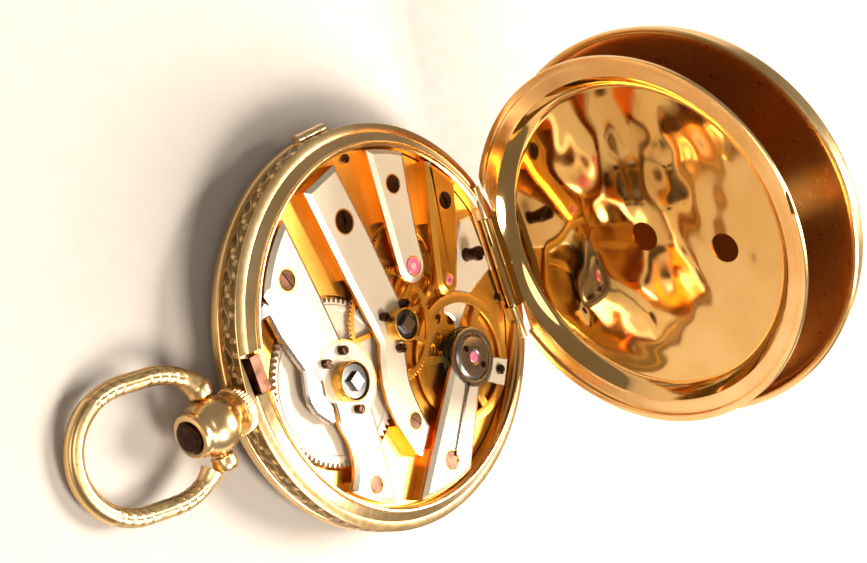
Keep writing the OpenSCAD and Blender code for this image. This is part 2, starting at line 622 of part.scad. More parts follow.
escape_n = 15;
module escape_wheel() paint("gold") translate([escape_x, escape_y, 0]) {
  difference() {
    translate([0, 0, escape_z]) linear_extrude(0.15) polygon([for (i = [0:escape_n - 1]) for (p = [
      polar(2.35 * u, i * 24), polar(2.35 * u, i * 24 + 12), polar(3.05 * u, i * 24 + 18),
      polar(3.05 * u, i * 24 + 20)]) p]);
    for (a = [0:90:270]) rotate(a + 20) translate([1.35 * u, 0, 0]) rod(0.55 * u, 0, 20);
  }
  toothed(8, fourth_m, leaf_tooth, to_escape + 180 + 22.5, fourth_z - 0.02, escape_z - fourth_z + 0.03);
  rod(pivot_r, plate_z + 0.45, plate_top + 0.15);
}

module jewel_seat(x, y, r, z) { translate([x, y, z]) cylinder(r = r, h = 5); }

module third_cock() paint("ivory") difference() {
  rim_side(17.3 * u) union() {
    translate([0, 0, bar_z]) linear_extrude(bar_t) polygon(plan(concat([[-18, 9.2], [-11.8, 7.75], [-7.7, 6.95]],
      arc(-4.6, 4.8, 1.85, 95, -95, 10), [[-18, 3.9]])));
    translate([0, 0, plate_top]) linear_extrude(bar_rise - bar_t + eps)
      polygon(plan([[-18, 9.2], [-11.8, 7.75], [-9.6, 7.3], [-9.6, 3.4], [-18, 3.9]]));
  }
  jewel_seat(third_x, third_y, 0.9 * u, bar_top - 0.4);
  translate([third_x, third_y, 0]) rod(0.3, 0, 20);
  screw_room(-12.7, 5.6, 0.9, 1.2);
}

module fourth_cock() paint("ivory") difference() {
  rim_side(17.3 * u) union() {
    translate([0, 0, bar_z]) linear_extrude(bar_t) polygon(plan(concat([[-15, 12.8], [-11, 16], [-9.6, 14.1],
      [-5.7, 12.7]], arc(-1.25, 8.85, 1.45, 48, -110, 10), [[-5.5, 8.6], [-9.2, 9.8], [-13.1, 11.2]])));
    translate([0, 0, plate_top]) linear_extrude(bar_rise - bar_t + eps) polygon(plan([[-15, 12.8], [-11, 16],
      [-9.6, 14.1], [-7.3, 13.3], [-7.3, 9.2], [-9.2, 9.8], [-13.1, 11.2]]));
  }
  jewel_seat(fourth_x, fourth_y, jewel_r * u, bar_top - 0.4);
  translate([fourth_x, fourth_y, 0]) rod(0.3, 0, 20);
  screw_room(-8.7, 11.9, 0.9, 1.2);
}

module escape_cock() paint("ivory") difference() {
  translate([0, 0, plate_top]) linear_extrude(escape_cock_t) polygon(plan(concat([[-5.6, 16.3], [-5.7, 14.6],
    [-1.6, 10.9], [1.6, 8.4]], arc(3.4, 7.8, 1.4, 160, 20, 8), [[4.2, 9.6], [1.5, 13], [0.4, 16.9]])));
  translate([escape_x, escape_y, 0]) rod(0.2, 0, 20);
  translate([fourth_x, fourth_y, 0]) rod(0.75, 0, 20);
}

module tall_screw() paint("sienna") translate([-2.2 * u, 13.9 * u, 0]) difference() {
  union() {
    rod(0.4, plate_top + escape_cock_t, bar_top);
    rod(0.75 * u, plate_top + escape_cock_t, bar_top + 0.35);
  }
  rotate(40) translate([-2, -0.12, bar_top + 0.15]) cube([4, 0.24, 1]);
}

module train_jewels() paint("deeppink") {
  translate([third_x, third_y, bar_top - 0.4]) difference() {
    cylinder(r = 0.9 * u, h = 0.42);
    cylinder(r = 0.2, h = 2, center = true);
  }
  translate([fourth_x, fourth_y, bar_top - 0.4]) difference() {
    cylinder(r = jewel_r * u, h = 0.42);
    cylinder(r = 0.2, h = 2, center = true);
  }
}

bridge_screw_plan = [[-9.3, -11.7, 1.05, 20], [12.65, -9.5, 0.9, 70], [-11.65, -2.3, 1.15, -15],
  [9.35, -1.85, 0.85, 40], [-12.7, 5.6, 0.9, 65], [-8.7, 11.9, 0.9, 10], [14.95, 1.15, 1, 62]];
module bridge_screws() paint("saddlebrown") {
  for (s = bridge_screw_plan) slotted_screw(s[0], s[1], s[2], bar_top - 0.25, screw_head, s[3], 0.9);
  for (p = sleeve_screw_plan) slotted_screw(p[0], p[1], 0.45, bar_top, 0.7, p[0] * 40, 0.4);
}

module balance_cock() paint("ivory") difference() {
  rim_side(17.3 * u) union() {
    translate([0, 0, bar_z]) linear_extrude(bar_t) polygon(plan(concat([[18.5, -5.9], [18.5, 3.6], [17.4, 3.2],
      [12.3, 6.9], [9.4, 8.9]], arc(6.9, 8.4, 2.5, 10, 255, 14))));
    translate([0, 0, plate_top]) linear_extrude(bar_rise - bar_t + eps)
      polygon(plan([[18.5, -5.9], [18.5, 3.6], [17.4, 3.2], [15.6, 4.5], [12.9, -0.7]]));
  }
  translate([balance_x, balance_y, 0]) rod(0.4, 0, 20);
  screw_room(14.95, 1.15, 1, 1.2);
}

module balance_wheel() paint("gold") translate([balance_x, balance_y, 0]) difference() {
  union() {
    ring(6.65 * u, 5.6 * u, balance_z, balance_z + balance_t);
    rod(0.9 * u, balance_z, balance_z + balance_t);
    for (a = [130, 250, 370]) rotate(a) translate([0, -0.45 * u, balance_z]) cube([6 * u, 0.9 * u, balance_t * 0.7]);
  }
  rod(0.36, 0, 20);
}

module balance_staff() paint("gray") translate([balance_x, balance_y, 0]) {
  rod(0.36, plate_top + 0.03, bar_z - 0.05);
  rod(pivot_r, plate_z + 0.45, bar_top + 0.02);
  rod(0.55, balance_z + balance_t + 0.02, hair_z + 0.22);
}

module hairspring() paint("steelblue") translate([balance_x, balance_y, hair_z]) linear_extrude(0.18)
  polygon(concat([for (i = [0:170]) polar((0.75 + 2.5 * i / 170) * u, i * 17)],
    [for (i = [170:-1:0]) polar((0.67 + 2.5 * i / 170) * u, i * 17)]));

module endstone_cap() paint("lightsteelblue") translate([balance_x, balance_y, bar_top]) difference() {
  rotate_extrude() polygon(plan([[0.6, 0], [2.35, 0], [2.35, 0.12], [2.05, 0.4], [0.6, 0.4]]));
  for (s = [-1, 1]) rotate(35) translate([s * 1.45 * u, 0, 0.2]) cylinder(r = 0.36 * u, h = 1);
}

module endstone() paint("deeppink") translate([balance_x, balance_y, bar_top + 0.03])
  cylinder(r = 0.6 * u, h = 0.37 * u);

module regulator() paint("lightsteelblue") translate([balance_x, balance_y, bar_top]) {
  ring(3 * u, 2.42 * u, 0, 0.2);
  rotate(-40.1) translate([2.7 * u, -0.18 * u, 0]) cube([7.2 * u, 0.36 * u, 0.2]);
  rotate(-40.1) translate([9.7 * u, 0, 0]) rotate(45) cube([0.45 * u, 0.45 * u, 0.2]);
}

module stud_block() paint("silver") difference() {
  translate([0, 0, bar_z + 0.05]) linear_extrude(0.5)
    polygon(plan([[8.1, 10.75], [8, 11.3], [9.2, 13.6], [11.5, 11.9], [9.9, 9.4], [9.5, 8.9], [8.5, 9.6]]));
  translate([9.7 * u, 11.8 * u, 0]) rod(0.3 * u, 0, 20);
  translate([0, 0, bar_z]) linear_extrude(bar_t + 1) polygon(plan(concat([[12.3, 6.9], [9.4, 8.9]],
    arc(6.9, 8.4, 2.5, 10, 100, 8), [[6, 6]])));
}

module stud_screw() paint("saddlebrown") slotted_screw(9.7, 11.8, 0.5, bar_z + 0.55, 0.35, 30, 0.5);

// ---- drawing ----

case_middle();
case_lip();
pendant();
pendant_collar();
push_piece();
latch_nose();
bow();
bow_screws();
front_bezel();
crystal();
bezel_pin();
back_cover();
back_pin();
cuvette();
cuvette_pin();
main_plate();
dial();
hour_hand();
minute_hand();
set_arbor();
centre_sleeve();
minute_wheel();
hour_wheel();
barrel_drum();
barrel_cover();
mainspring();
barrel_arbor();
winding_sleeve();
ratchet_wheel();
ratchet_cap();
cap_screws();
click_spring();
barrel_bridge();
centre_bridge();
centre_wheel();
third_cock();
third_wheel();
fourth_cock();
fourth_wheel();
escape_cock();
escape_wheel();
train_jewels();
bridge_screws();
tall_screw();
balance_cock();
balance_wheel();
balance_staff();
hairspring();
stud_block();
stud_screw();
regulator();
endstone_cap();
endstone();
case_screws();
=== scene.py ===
"""Detailed look of an open-face pocket watch whose back and dust cover stand open."""

import math

import bmesh
import bpy
from mathutils import Matrix, Vector, noise


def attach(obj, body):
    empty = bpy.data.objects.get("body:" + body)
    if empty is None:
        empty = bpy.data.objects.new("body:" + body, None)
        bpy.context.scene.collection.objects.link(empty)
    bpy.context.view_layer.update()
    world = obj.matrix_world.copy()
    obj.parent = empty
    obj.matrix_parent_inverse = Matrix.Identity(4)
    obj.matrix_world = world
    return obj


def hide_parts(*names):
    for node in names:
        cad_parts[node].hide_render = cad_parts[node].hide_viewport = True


bl_info = {
    "name": "Pocket watch finish",
    "version": (1, 0, 0),
    "blender": (4, 5, 0),
    "location": "3D View > Sidebar > Watch",
    "description": "Builds the visible surfaces of an open pocket watch on its mechanical frame",
    "category": "Object",
}

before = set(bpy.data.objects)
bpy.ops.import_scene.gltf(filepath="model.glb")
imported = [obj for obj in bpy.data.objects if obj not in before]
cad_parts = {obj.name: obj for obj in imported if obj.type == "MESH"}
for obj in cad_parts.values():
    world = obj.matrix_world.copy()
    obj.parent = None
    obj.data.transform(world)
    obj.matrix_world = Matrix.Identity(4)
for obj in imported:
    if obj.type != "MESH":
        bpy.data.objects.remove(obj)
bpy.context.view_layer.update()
MM = 0.001

FLANGE = 5.9          # height of the rim flange, in mm
PLATE = FLANGE - 0.6  # top of the main plate
BAR_TOP = PLATE + 1.7
BAR_LOW = BAR_TOP - 0.7
POST_TOP = BAR_TOP + 1.6
WIND = (2.2, -8.85)
BALANCE = (6.9, 8.4)
THIRD = (-4.4, 4.7)
FOURTH = (-1.3, 8.9)


# ---------------------------------------------------------------- materials

def _nodes(name):
    mat = bpy.data.materials.new(name)
    mat.use_nodes = True
    tree = mat.node_tree
    return mat, tree, tree.nodes["Principled BSDF"]


def _add(tree, kind, **values):
    node = tree.nodes.new(kind)
    for key, value in values.items():
        if hasattr(node, key):
            setattr(node, key, value)
        else:
            node.inputs[key].default_value = value
    return node


def finish_material(name, tone, shade, rough=(0.2, 0.3), metallic=1.0, grain=900.0, stretch=(1, 1, 1),
                    bump=0.05, patch=120.0, attribute=None, coat=0.0):
    """A worked surface: two tones in soft patches, fine grain in the roughness and a shallow bump."""
    mat, tree, shader = _nodes(name)
    link = tree.links.new
    shader.inputs["Metallic"].default_value = metallic
    if coat:
        shader.inputs["Coat Weight"].default_value = coat
        shader.inputs["Coat Roughness"].default_value = 0.05
    coord = _add(tree, "ShaderNodeTexCoord")
    mapping = _add(tree, "ShaderNodeMapping")
    mapping.inputs["Scale"].default_value = stretch
    link(coord.outputs["Object"], mapping.inputs["Vector"])
    wide = _add(tree, "ShaderNodeTexNoise", Scale=patch, Detail=3.0)
    fine = _add(tree, "ShaderNodeTexNoise", Scale=grain, Detail=2.0)
    link(coord.outputs["Object"], wide.inputs["Vector"])
    link(mapping.outputs["Vector"], fine.inputs["Vector"])
    fine_out = fine.outputs["Fac"]
    ramp = _add(tree, "ShaderNodeValToRGB")
    ramp.color_ramp.elements[0].position = 0.35
    ramp.color_ramp.elements[1].position = 0.65
    ramp.color_ramp.elements[0].color = (*shade, 1)
    ramp.color_ramp.elements[1].color = (*tone, 1)
    link(wide.outputs["Fac"], ramp.inputs["Fac"])
    colour = ramp.outputs["Color"]
    # painted shade: where the attribute is low, the colour is mixed towards a dark copy of the shade tone, at
    # 0.22 of its brightness
    if attribute:
        shade_by_relief = _add(tree, "ShaderNodeAttribute", attribute_name=attribute)
        mix = _add(tree, "ShaderNodeMix", data_type="RGBA")
        mix.inputs[6].default_value = (*[c * 0.22 for c in shade], 1)
        link(shade_by_relief.outputs["Fac"], mix.inputs[0])
        link(colour, mix.inputs[7])
        colour = mix.outputs[2]
    link(colour, shader.inputs["Base Color"])
    spread = _add(tree, "ShaderNodeMapRange")
    spread.inputs["To Min"].default_value = rough[0]
    spread.inputs["To Max"].default_value = rough[1]
    link(fine_out, spread.inputs["Value"])
    link(spread.outputs["Result"], shader.inputs["Roughness"])
    lift = _add(tree, "ShaderNodeBump", Strength=bump, Distance=0.00005)
    link(fine_out, lift.inputs["Height"])
    link(lift.outputs["Normal"], shader.inputs["Normal"])
    return mat


def glass_material(name, tint, rough):
    mat, tree, shader = _nodes(name)
    shader.inputs["Transmission Weight"].default_value = 1.0
    shader.inputs["IOR"].default_value = 1.5
    shader.inputs["Base Color"].default_value = (*tint, 1)
    coord = _add(tree, "ShaderNodeTexCoord")
    haze = _add(tree, "ShaderNodeTexNoise", Scale=400.0, Detail=2.0)
    spread = _add(tree, "ShaderNodeMapRange")
    spread.inputs["To Min"].default_value = rough
    spread.inputs["To Max"].default_value = rough + 0.05
    tree.links.new(coord.outputs["Object"], haze.inputs["Vector"])
    tree.links.new(haze.outputs["Fac"], spread.inputs["Value"])
    tree.links.new(spread.outputs["Result"], shader.inputs["Roughness"])
    return mat


MATERIALS = {}


def make_materials(look):
    gold = tuple(look.gold)
    deep = tuple(look.gold_shade)
    silver = tuple(look.silver)
    steel = tuple(look.burnt_steel)
    m = MATERIALS
    m["gold_case"] = finish_material("gold_case", gold, deep, (0.17, 0.3), grain=1500, bump=0.04)
    # engraved gold: the relief attribute paints shade into the recesses of the engraving
    m["gold_engraved"] = finish_material("gold_engraved", gold, deep, (0.22, 0.4), grain=2500, bump=0.2,
                                         attribute="relief")
    m["gold_cover"] = finish_material("gold_cover", (0.9, 0.45, 0.12), (0.82, 0.37, 0.09), (0.24, 0.34),
                                      grain=1600, bump=0.03, patch=60)
    m["gold_mirror"] = finish_material("gold_mirror", (0.74, 0.48, 0.19), (0.64, 0.37, 0.12), (0.04, 0.09),
                                       grain=900, bump=0.01)
    m["burnt_steel"] = finish_material("burnt_steel", tuple(c * 2.2 for c in steel), steel, (0.22, 0.42),
                                       grain=2500, bump=0.1, patch=900)
    m["crystal_glass"] = glass_material("crystal_glass", (0.96, 0.98, 0.98), 0.0)
    m["enamel_white"] = finish_material("enamel_white", (0.9, 0.89, 0.85), (0.84, 0.82, 0.77), (0.1, 0.18),
                                        metallic=0.0, bump=0.02, coat=0.4)
    # black enamel for the dial figures; the same black also fills the key post bores as painted shade
    m["enamel_black"] = finish_material("enamel_black", (0.02, 0.02, 0.02), (0.01, 0.01, 0.012), (0.2, 0.3),
                                        metallic=0.0, bump=0.02)
    m["blued_steel"] = finish_material("blued_steel", (0.07, 0.12, 0.16), (0.03, 0.05, 0.09), (0.2, 0.32),
                                       grain=2500)
    m["polished_steel"] = finish_material("polished_steel", (0.42, 0.35, 0.31), (0.3, 0.25, 0.22),
                                          (0.2, 0.36), grain=3000, stretch=(1, 6, 1), bump=0.06)
    m["gilt_brass"] = finish_material("gilt_brass", (0.88, 0.48, 0.1), (0.72, 0.34, 0.05), (0.28, 0.42),
                                      grain=2600, bump=0.12)
    m["gilt_wall"] = finish_material("gilt_wall", (0.9, 0.44, 0.07), (0.76, 0.31, 0.04), (0.25, 0.4),
                                     grain=2600, bump=0.1)
    m["silvered_brass"] = finish_material("silvered_brass", silver, tuple(c * 0.93 for c in silver),
                                          (0.42, 0.58), metallic=0.45, grain=4200, bump=0.16, patch=160)
    m["bright_bevel"] = finish_material("bright_bevel", (1.0, 0.92, 0.74), (0.96, 0.84, 0.62), (0.3, 0.42),
                                        grain=3000, bump=0.03)
    m["ruby"] = finish_material("ruby", (0.85, 0.2, 0.34), (0.7, 0.1, 0.22), (0.04, 0.1), metallic=0.0,
                                bump=0.01, coat=1.0, patch=1800)
    m["floor"] = finish_material("floor", (0.405, 0.362, 0.32), (0.385, 0.342, 0.3), (0.5, 0.65),
                                 metallic=0.0, grain=500, bump=0.02, patch=9)


# ---------------------------------------------------------------- mesh helpers

def plain_mesh(name, verts, faces, scale=MM, weld=0.0):
    """A mesh with outward normals; points closer than weld are joined."""
    mesh = bpy.data.meshes.new(name)
    mesh.from_pydata([tuple(Vector(v) * scale) for v in verts], [], faces)
    bm = bmesh.new()
    bm.from_mesh(mesh)
    if weld:
        bmesh.ops.remove_doubles(bm, verts=bm.verts, dist=weld)
    bmesh.ops.recalc_face_normals(bm, faces=bm.faces)
    bm.to_mesh(mesh)
    bm.free()
    return mesh


def placed(name, data):
    obj = bpy.data.objects.new(name, data)
    bpy.context.scene.collection.objects.link(obj)
    return obj


def result_mesh(obj):
    """The mesh that an object's modifiers give."""
    bpy.context.view_layer.update()
    return bpy.data.meshes.new_from_object(obj.evaluated_get(bpy.context.evaluated_depsgraph_get()))


def cut_with(obj, tools):
    """The mesh left when the tools, which go away, are taken from an object."""
    for tool in tools:
        modifier = obj.modifiers.new("Cut", "BOOLEAN")
        modifier.operation = "DIFFERENCE"
        modifier.solver = "EXACT"
        modifier.object = tool
    mesh = result_mesh(obj)
    obj.modifiers.clear()
    for tool in tools:
        bpy.data.objects.remove(tool)
    return mesh


def make_piece(name, verts, faces, materials, body, replaces=(), slot=None, sharp=30.0, place=None,
               face_material=None, attribute=None):
    """A plain mesh object in metres from millimetre points, with outward normals and split edges."""
    if place is not None:
        verts = [place @ Vector(v) for v in verts]
    mesh = plain_mesh(name, verts, faces)
    for key in materials:
        mesh.materials.append(MATERIALS[key])
    if face_material:
        for poly in mesh.polygons:
            poly.material_index = face_material(poly)
    if attribute:
        # per-point relief values, which set the painted shade of the engraved gold
        layer = mesh.attributes.new("relief", "FLOAT", "POINT")
        layer.data.foreach_set("value", attribute)
    mesh.shade_smooth()
    mesh.set_sharp_from_angle(angle=math.radians(sharp))
    obj = placed(name, mesh)
    settle(obj, body, replaces)
    return obj


def settle(obj, body, replaces=()):
    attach(obj, body)
    if replaces:
        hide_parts(*replaces)


def soften(profile, cut, steps=3):
    """Rounds the corners of a closed profile."""
    out = []
    count = len(profile)
    for i, point in enumerate(profile):
        before, here, after = Vector(profile[i - 1]), Vector(point), Vector(profile[(i + 1) % count])
        if here.x < 1e-6:
            out.append(tuple(here))
            continue
        back, ahead = before - here, after - here
        k = min(cut, back.length * 0.45, ahead.length * 0.45)
        if k < 1e-5 or back.angle(ahead) > math.radians(172):
            out.append(tuple(here))
            continue
        start, end = here + back.normalized() * k, here + ahead.normalized() * k
        for s in range(steps + 1):
            t = s / steps
            out.append(tuple((1 - t) ** 2 * start + 2 * t * (1 - t) * here + t * t * end))
    return out


def turned(profile, centre=(0.0, 0.0), segments=160):
    """Points and faces of a closed (radius, height) profile turned about a vertical axis."""
    verts, rows = [], []
    for r, z in profile:
        if r < 1e-6:
            verts.append((centre[0], centre[1], z))
            rows.append([len(verts) - 1] * segments)
        else:
            start = len(verts)
            for j in range(segments):
                a = 2 * math.pi * j / segments
                verts.append((centre[0] + r * math.cos(a), centre[1] + r * math.sin(a), z))
            rows.append(list(range(start, start + segments)))
    faces = []
    count = len(rows)
    for i in range(count):
        a, b = rows[i], rows[(i + 1) % count]
        if a[0] == a[1] and b[0] == b[1]:
            continue
        for j in range(segments):
            k = (j + 1) % segments
            face = [a[j], a[k], b[k], b[j]]
            face = [v for n, v in enumerate(face) if v not in face[:n]]
            if len(face) > 2:
                faces.append(face)
    return verts, faces


def join_shapes(*shapes):
    verts, faces = [], []
    for v, f in shapes:
        base = len(verts)
        verts += [tuple(p) for p in v]
        faces += [[i + base for i in face] for face in f]
    return verts, faces


def moved(shape, matrix):
    return [tuple(matrix @ Vector(v)) for v in shape[0]], shape[1]


def spun(points, centre, degrees):
    """Plan points about an origin, turned and carried to a centre."""
    c, s = math.cos(math.radians(degrees)), math.sin(math.radians(degrees))
    return [(centre[0] + x * c - y * s, centre[1] + x * s + y * c) for x, y in points]


def prism(points, z0, z1):
    """A closed prism over a plan outline."""
    n = len(points)
    verts = [(x, y, z0) for x, y in points] + [(x, y, z1) for x, y in points]
    faces = [list(range(n))[::-1], list(range(n, 2 * n))]
    faces += [[i, (i + 1) % n, n + (i + 1) % n, n + i] for i in range(n)]
    return verts, faces


def arc(cx, cy, r, a0, a1, n):
    return [(cx + r * math.cos(math.radians(a0 + (a1 - a0) * i / n)),
             cy + r * math.sin(math.radians(a0 + (a1 - a0) * i / n))) for i in range(n + 1)]


def clip_round(points, radius):
    """A plan outline cut off at the round case opening, with the cut following the round."""
    out = []
    n = len(points)
    for i in range(n):
        p, q = Vector(points[i]), Vector(points[(i + 1) % n])
        d = q - p
        a, b, c = d.dot(d), 2 * p.dot(d), p.dot(p) - radius * radius
        if c <= 0:
            out.append(p)
        disc = b * b - 4 * a * c
        if disc > 0:
            roots = [(-b - math.sqrt(disc)) / (2 * a), (-b + math.sqrt(disc)) / (2 * a)]
            for t in roots:
                if 0 < t < 1:
                    out.append(p + d * t)
    full = []
    for i, p in enumerate(out):
        q = out[(i + 1) % len(out)]
        full.append(p)
        if abs(p.length - radius) < 1e-6 and abs(q.length - radius) < 1e-6:
            a0, a1 = math.atan2(p.y, p.x), math.atan2(q.y, q.x)
            while a1 - a0 > math.pi:
                a1 -= 2 * math.pi
            while a1 - a0 < -math.pi:
                a1 += 2 * math.pi
            steps = max(1, int(abs(a1 - a0) * radius / 1.1))
            full += [Vector((radius * math.cos(a0 + (a1 - a0) * s / steps),
                             radius * math.sin(a0 + (a1 - a0) * s / steps))) for s in range(1, steps)]
    area = sum(full[i - 1].x * p.y - p.x * full[i - 1].y for i, p in enumerate(full))
    return full if area > 0 else full[::-1]


def inset(points, amount):
    """Moves an anticlockwise outline inwards by the same amount everywhere."""
    out = []
    n = len(points)
    for i in range(n):
        a, b, c = points[i - 1], points[i], points[(i + 1) % n]
        u, v = (b - a).normalized(), (c - b).normalized()
        nu, nv = Vector((-u.y, u.x)), Vector((-v.y, v.x))
        half = nu + nv
        half = half.normalized() if half.length > 1e-6 else nu
        out.append(b + half * (amount / max(0.45, half.dot(nu))))
    return out


def bar_shape(outline, feet, top, low, plate, bevel, drop, radius=17.3):
    """A bridge or cock: bevelled all round its top, with full-height feet down to the plate."""
    ring = clip_round(outline, radius)
    inner = inset(ring, bevel)
    n = len(ring)
    verts = [(p.x, p.y, low) for p in ring] + [(p.x, p.y, top - drop) for p in ring]
    verts += [(p.x, p.y, top) for p in inner]
    faces = [list(range(n))[::-1]]
    for level in (0, 1):
        base = level * n
        faces += [[base + i, base + (i + 1) % n, base + n + (i + 1) % n, base + n + i] for i in range(n)]
    faces.append(list(range(2 * n, 3 * n)))
    shapes = [(verts, faces)]
    for foot in feet:
        edge = clip_round(foot, radius)
        shapes.append(prism([(p.x, p.y) for p in edge], plate, low + 0.001))
    return join_shapes(*shapes)


def bar_faces(poly):
    up = poly.normal.z
    return 0 if up > 0.97 else (1 if up > 0.3 else 2)


def open_tube(path, radius_at, segments):
    """A closed-ended tube of varying section along a path; radius_at(i, angle) gives the wall."""
    verts, faces = [], []
    n = len(path)
    for i, p in enumerate(path):
        ahead, back = path[min(i + 1, n - 1)], path[max(i - 1, 0)]
        t = (ahead - back).normalized()
        side = t.cross(Vector((0, 0, 1))).normalized()
        lift = side.cross(t).normalized()
        for j in range(segments):
            a = 2 * math.pi * j / segments
            r = radius_at(i, a)
            verts.append(p + side * (r * math.cos(a)) + lift * (r * math.sin(a)))
    for i in range(n - 1):
        a, b = i * segments, (i + 1) * segments
        for j in range(segments):
            k = (j + 1) % segments
            faces.append([a + j, a + k, b + k, b + j])
    faces.append(list(range(segments))[::-1])
    faces.append(list(range((n - 1) * segments, n * segments)))
    return verts, faces


# ---------------------------------------------------------------- geometry nodes

def repeat_tree(name, material):
    """Instances one shape on every point, sized and turned by the points' own values."""
    tree = bpy.data.node_groups.new(name, "GeometryNodeTree")
    face = tree.interface
    face.new_socket("Geometry", in_out="INPUT", socket_type="NodeSocketGeometry")
    face.new_socket("Shape", in_out="INPUT", socket_type="NodeSocketObject")
    size = face.new_socket("Size", in_out="INPUT", socket_type="NodeSocketFloat")
    size.default_value = 1.0
    face.new_socket("Geometry", in_out="OUTPUT", socket_type="NodeSocketGeometry")
    n, link = tree.nodes, tree.links.new
    start, end = n.new("NodeGroupInput"), n.new("NodeGroupOutput")
    info = n.new("GeometryNodeObjectInfo")
    place = n.new("GeometryNodeInstanceOnPoints")
    scale = n.new("GeometryNodeInputNamedAttribute")
    scale.data_type = "FLOAT_VECTOR"
    scale.inputs["Name"].default_value = "part_scale"
    turn = n.new("GeometryNodeInputNamedAttribute")
    turn.data_type = "FLOAT_VECTOR"
    turn.inputs["Name"].default_value = "part_turn"
    multiply = n.new("ShaderNodeVectorMath")
    multiply.operation = "SCALE"
    real = n.new("GeometryNodeRealizeInstances")
    paint = n.new("GeometryNodeSetMaterial")
    paint.inputs["Material"].default_value = material
    link(start.outputs["Shape"], info.inputs["Object"])
    link(start.outputs["Geometry"], place.inputs["Points"])
    link(info.outputs["Geometry"], place.inputs["Instance"])
    link(scale.outputs["Attribute"], multiply.inputs[0])
    link(start.outputs["Size"], multiply.inputs["Scale"])
    link(multiply.outputs["Vector"], place.inputs["Scale"])
    link(turn.outputs["Attribute"], place.inputs["Rotation"])
    link(place.outputs["Instances"], real.inputs["Geometry"])
    link(real.outputs["Geometry"], paint.inputs["Geometry"])
    link(paint.outputs["Geometry"], end.inputs["Geometry"])
    return tree


def repeated(name, shape, points, scales, turns, material, body, replaces=()):
    """Copies a shape onto points through geometry nodes and keeps the result as one plain mesh."""
    base = placed(name + "_shape", plain_mesh(name + "_shape", *shape))
    holder_mesh = bpy.data.meshes.new(name + "_points")
    holder_mesh.from_pydata([tuple(Vector(p) * MM) for p in points], [], [])
    for key, rows in (("part_scale", scales), ("part_turn", turns)):
        layer = holder_mesh.attributes.new(key, "FLOAT_VECTOR", "POINT")
        layer.data.foreach_set("vector", [c for row in rows for c in row])
    holder = placed(name + "_points", holder_mesh)
    tree = repeat_tree(name + "_tree", MATERIALS[material])
    modifier = holder.modifiers.new("Repeat", "NODES")
    modifier.node_group = tree
    keys = {s.name: s.identifier for s in tree.interface.items_tree if s.in_out == "INPUT"}
    modifier[keys["Shape"]] = base
    modifier[keys["Size"]] = 1.0
    mesh = result_mesh(holder)
    holder.modifiers.clear()
    bpy.data.objects.remove(holder)
    bpy.data.objects.remove(base)
    mesh.shade_smooth()
    mesh.set_sharp_from_angle(angle=math.radians(32))
    mesh.name = name
    if not mesh.materials:
        mesh.materials.append(MATERIALS[material])
    obj = placed(name, mesh)
    settle(obj, body, replaces)
    return obj


# ---------------------------------------------------------------- settings

def colour(name, text, default):
    return bpy.props.FloatVectorProperty(name=name, description=text, subtype="COLOR", default=default,
                                         size=3, min=0, max=1)


def measure(name, text, default, low, high):
    return bpy.props.FloatProperty(name=name, description=text, default=default, min=low, max=high)


class WatchLook(bpy.types.PropertyGroup):
    gold: colour("Gold", "Colour of the case gold", (0.93, 0.66, 0.33))
    gold_shade: colour("Gold shade", "Deeper tone of the case gold", (0.78, 0.48, 0.19))
    silver: colour("Silvering", "Colour of the silvered bridges", (0.7, 0.6, 0.455))
    burnt_steel: colour("Burnt steel", "Colour of the browned screws", (0.035, 0.016, 0.01))
    bevel: measure("Bridge bevel", "Width of the bridges' polished bevels, in millimetres", 0.5, 0.1, 0.7)
    relief: measure("Engraving depth", "Depth of the engraving, in millimetres", 0.09, 0.0, 0.2)
    focal: measure("Focal length", "Lens of the camera, in millimetres", 95.5, 30, 200)


def look():
    return bpy.context.scene.watch_look


def operator(idname, label, doc):
    """Makes an operator class out of a building function."""
    def wrap(function):
        def execute(self, context):
            function(look())
            return {"FINISHED"}
        return type("WATCH_OT_" + idname, (bpy.types.Operator,), {
            "bl_idname": "watch." + idname, "bl_label": label, "__doc__": doc,
            "bl_options": {"REGISTER", "UNDO"}, "execute": execute})
    return wrap


def cut_piece(obj, cutters):
    """Takes closed shapes away from a piece and keeps the result as its plain mesh."""
    mesh = cut_with(obj, [placed("cutter", plain_mesh("cutter", *shape)) for shape in cutters])
    mesh.shade_smooth()
    mesh.set_sharp_from_angle(angle=math.radians(30))
    obj.data = mesh
    return obj


def block(x0, x1, y0, y1, z0, z1):
    return prism([(x0, y0), (x1, y0), (x1, y1), (x0, y1)], z0, z1)


def rod_x(y, z, x0, x1, r, segments=40):
    """A rounded-end rod along X."""
    shape = turned(soften([(0, x0), (r, x0), (r, x1), (0, x1)], 0.08), segments=segments)
    return moved(shape, Matrix(((0, 0, 1, 0), (0, 1, 0, y), (-1, 0, 0, z), (0, 0, 0, 1))))


def rod_y(x, z, y0, y1, r, segments=40):
    shape = turned(soften([(0, y0), (r, y0), (r, y1), (0, y1)], 0.08), segments=segments)
    return moved(shape, Matrix(((1, 0, 0, x), (0, 0, 1, 0), (0, -1, 0, z), (0, 0, 0, 1))))


def swing(y, z, degrees):
    return (Matrix.Translation((0, y, z)) @ Matrix.Rotation(math.radians(-degrees), 4, "X")
            @ Matrix.Translation((0, -y, -z)))


HINGE_Y, HINGE_Z = 17.2, FLANGE + 0.5
BACK_Y, BACK_Z = 19.9, FLANGE - 1.2
BEZEL_X, BEZEL_Z = -20.1, FLANGE - 2.05
PENDANT_Y, PENDANT_Z = -23.7, FLANGE - 1.8
BACK_OPEN, DUST_OPEN = 95.2, 91.0  # how far the covers stand open, in degrees
BOW_DROP, BOW_LEAN = 12.4, 8       # how far the bow hangs and leans, in degrees
CASE_R, BALL_R = 20.0, 2.85


# ---------------------------------------------------------------- case

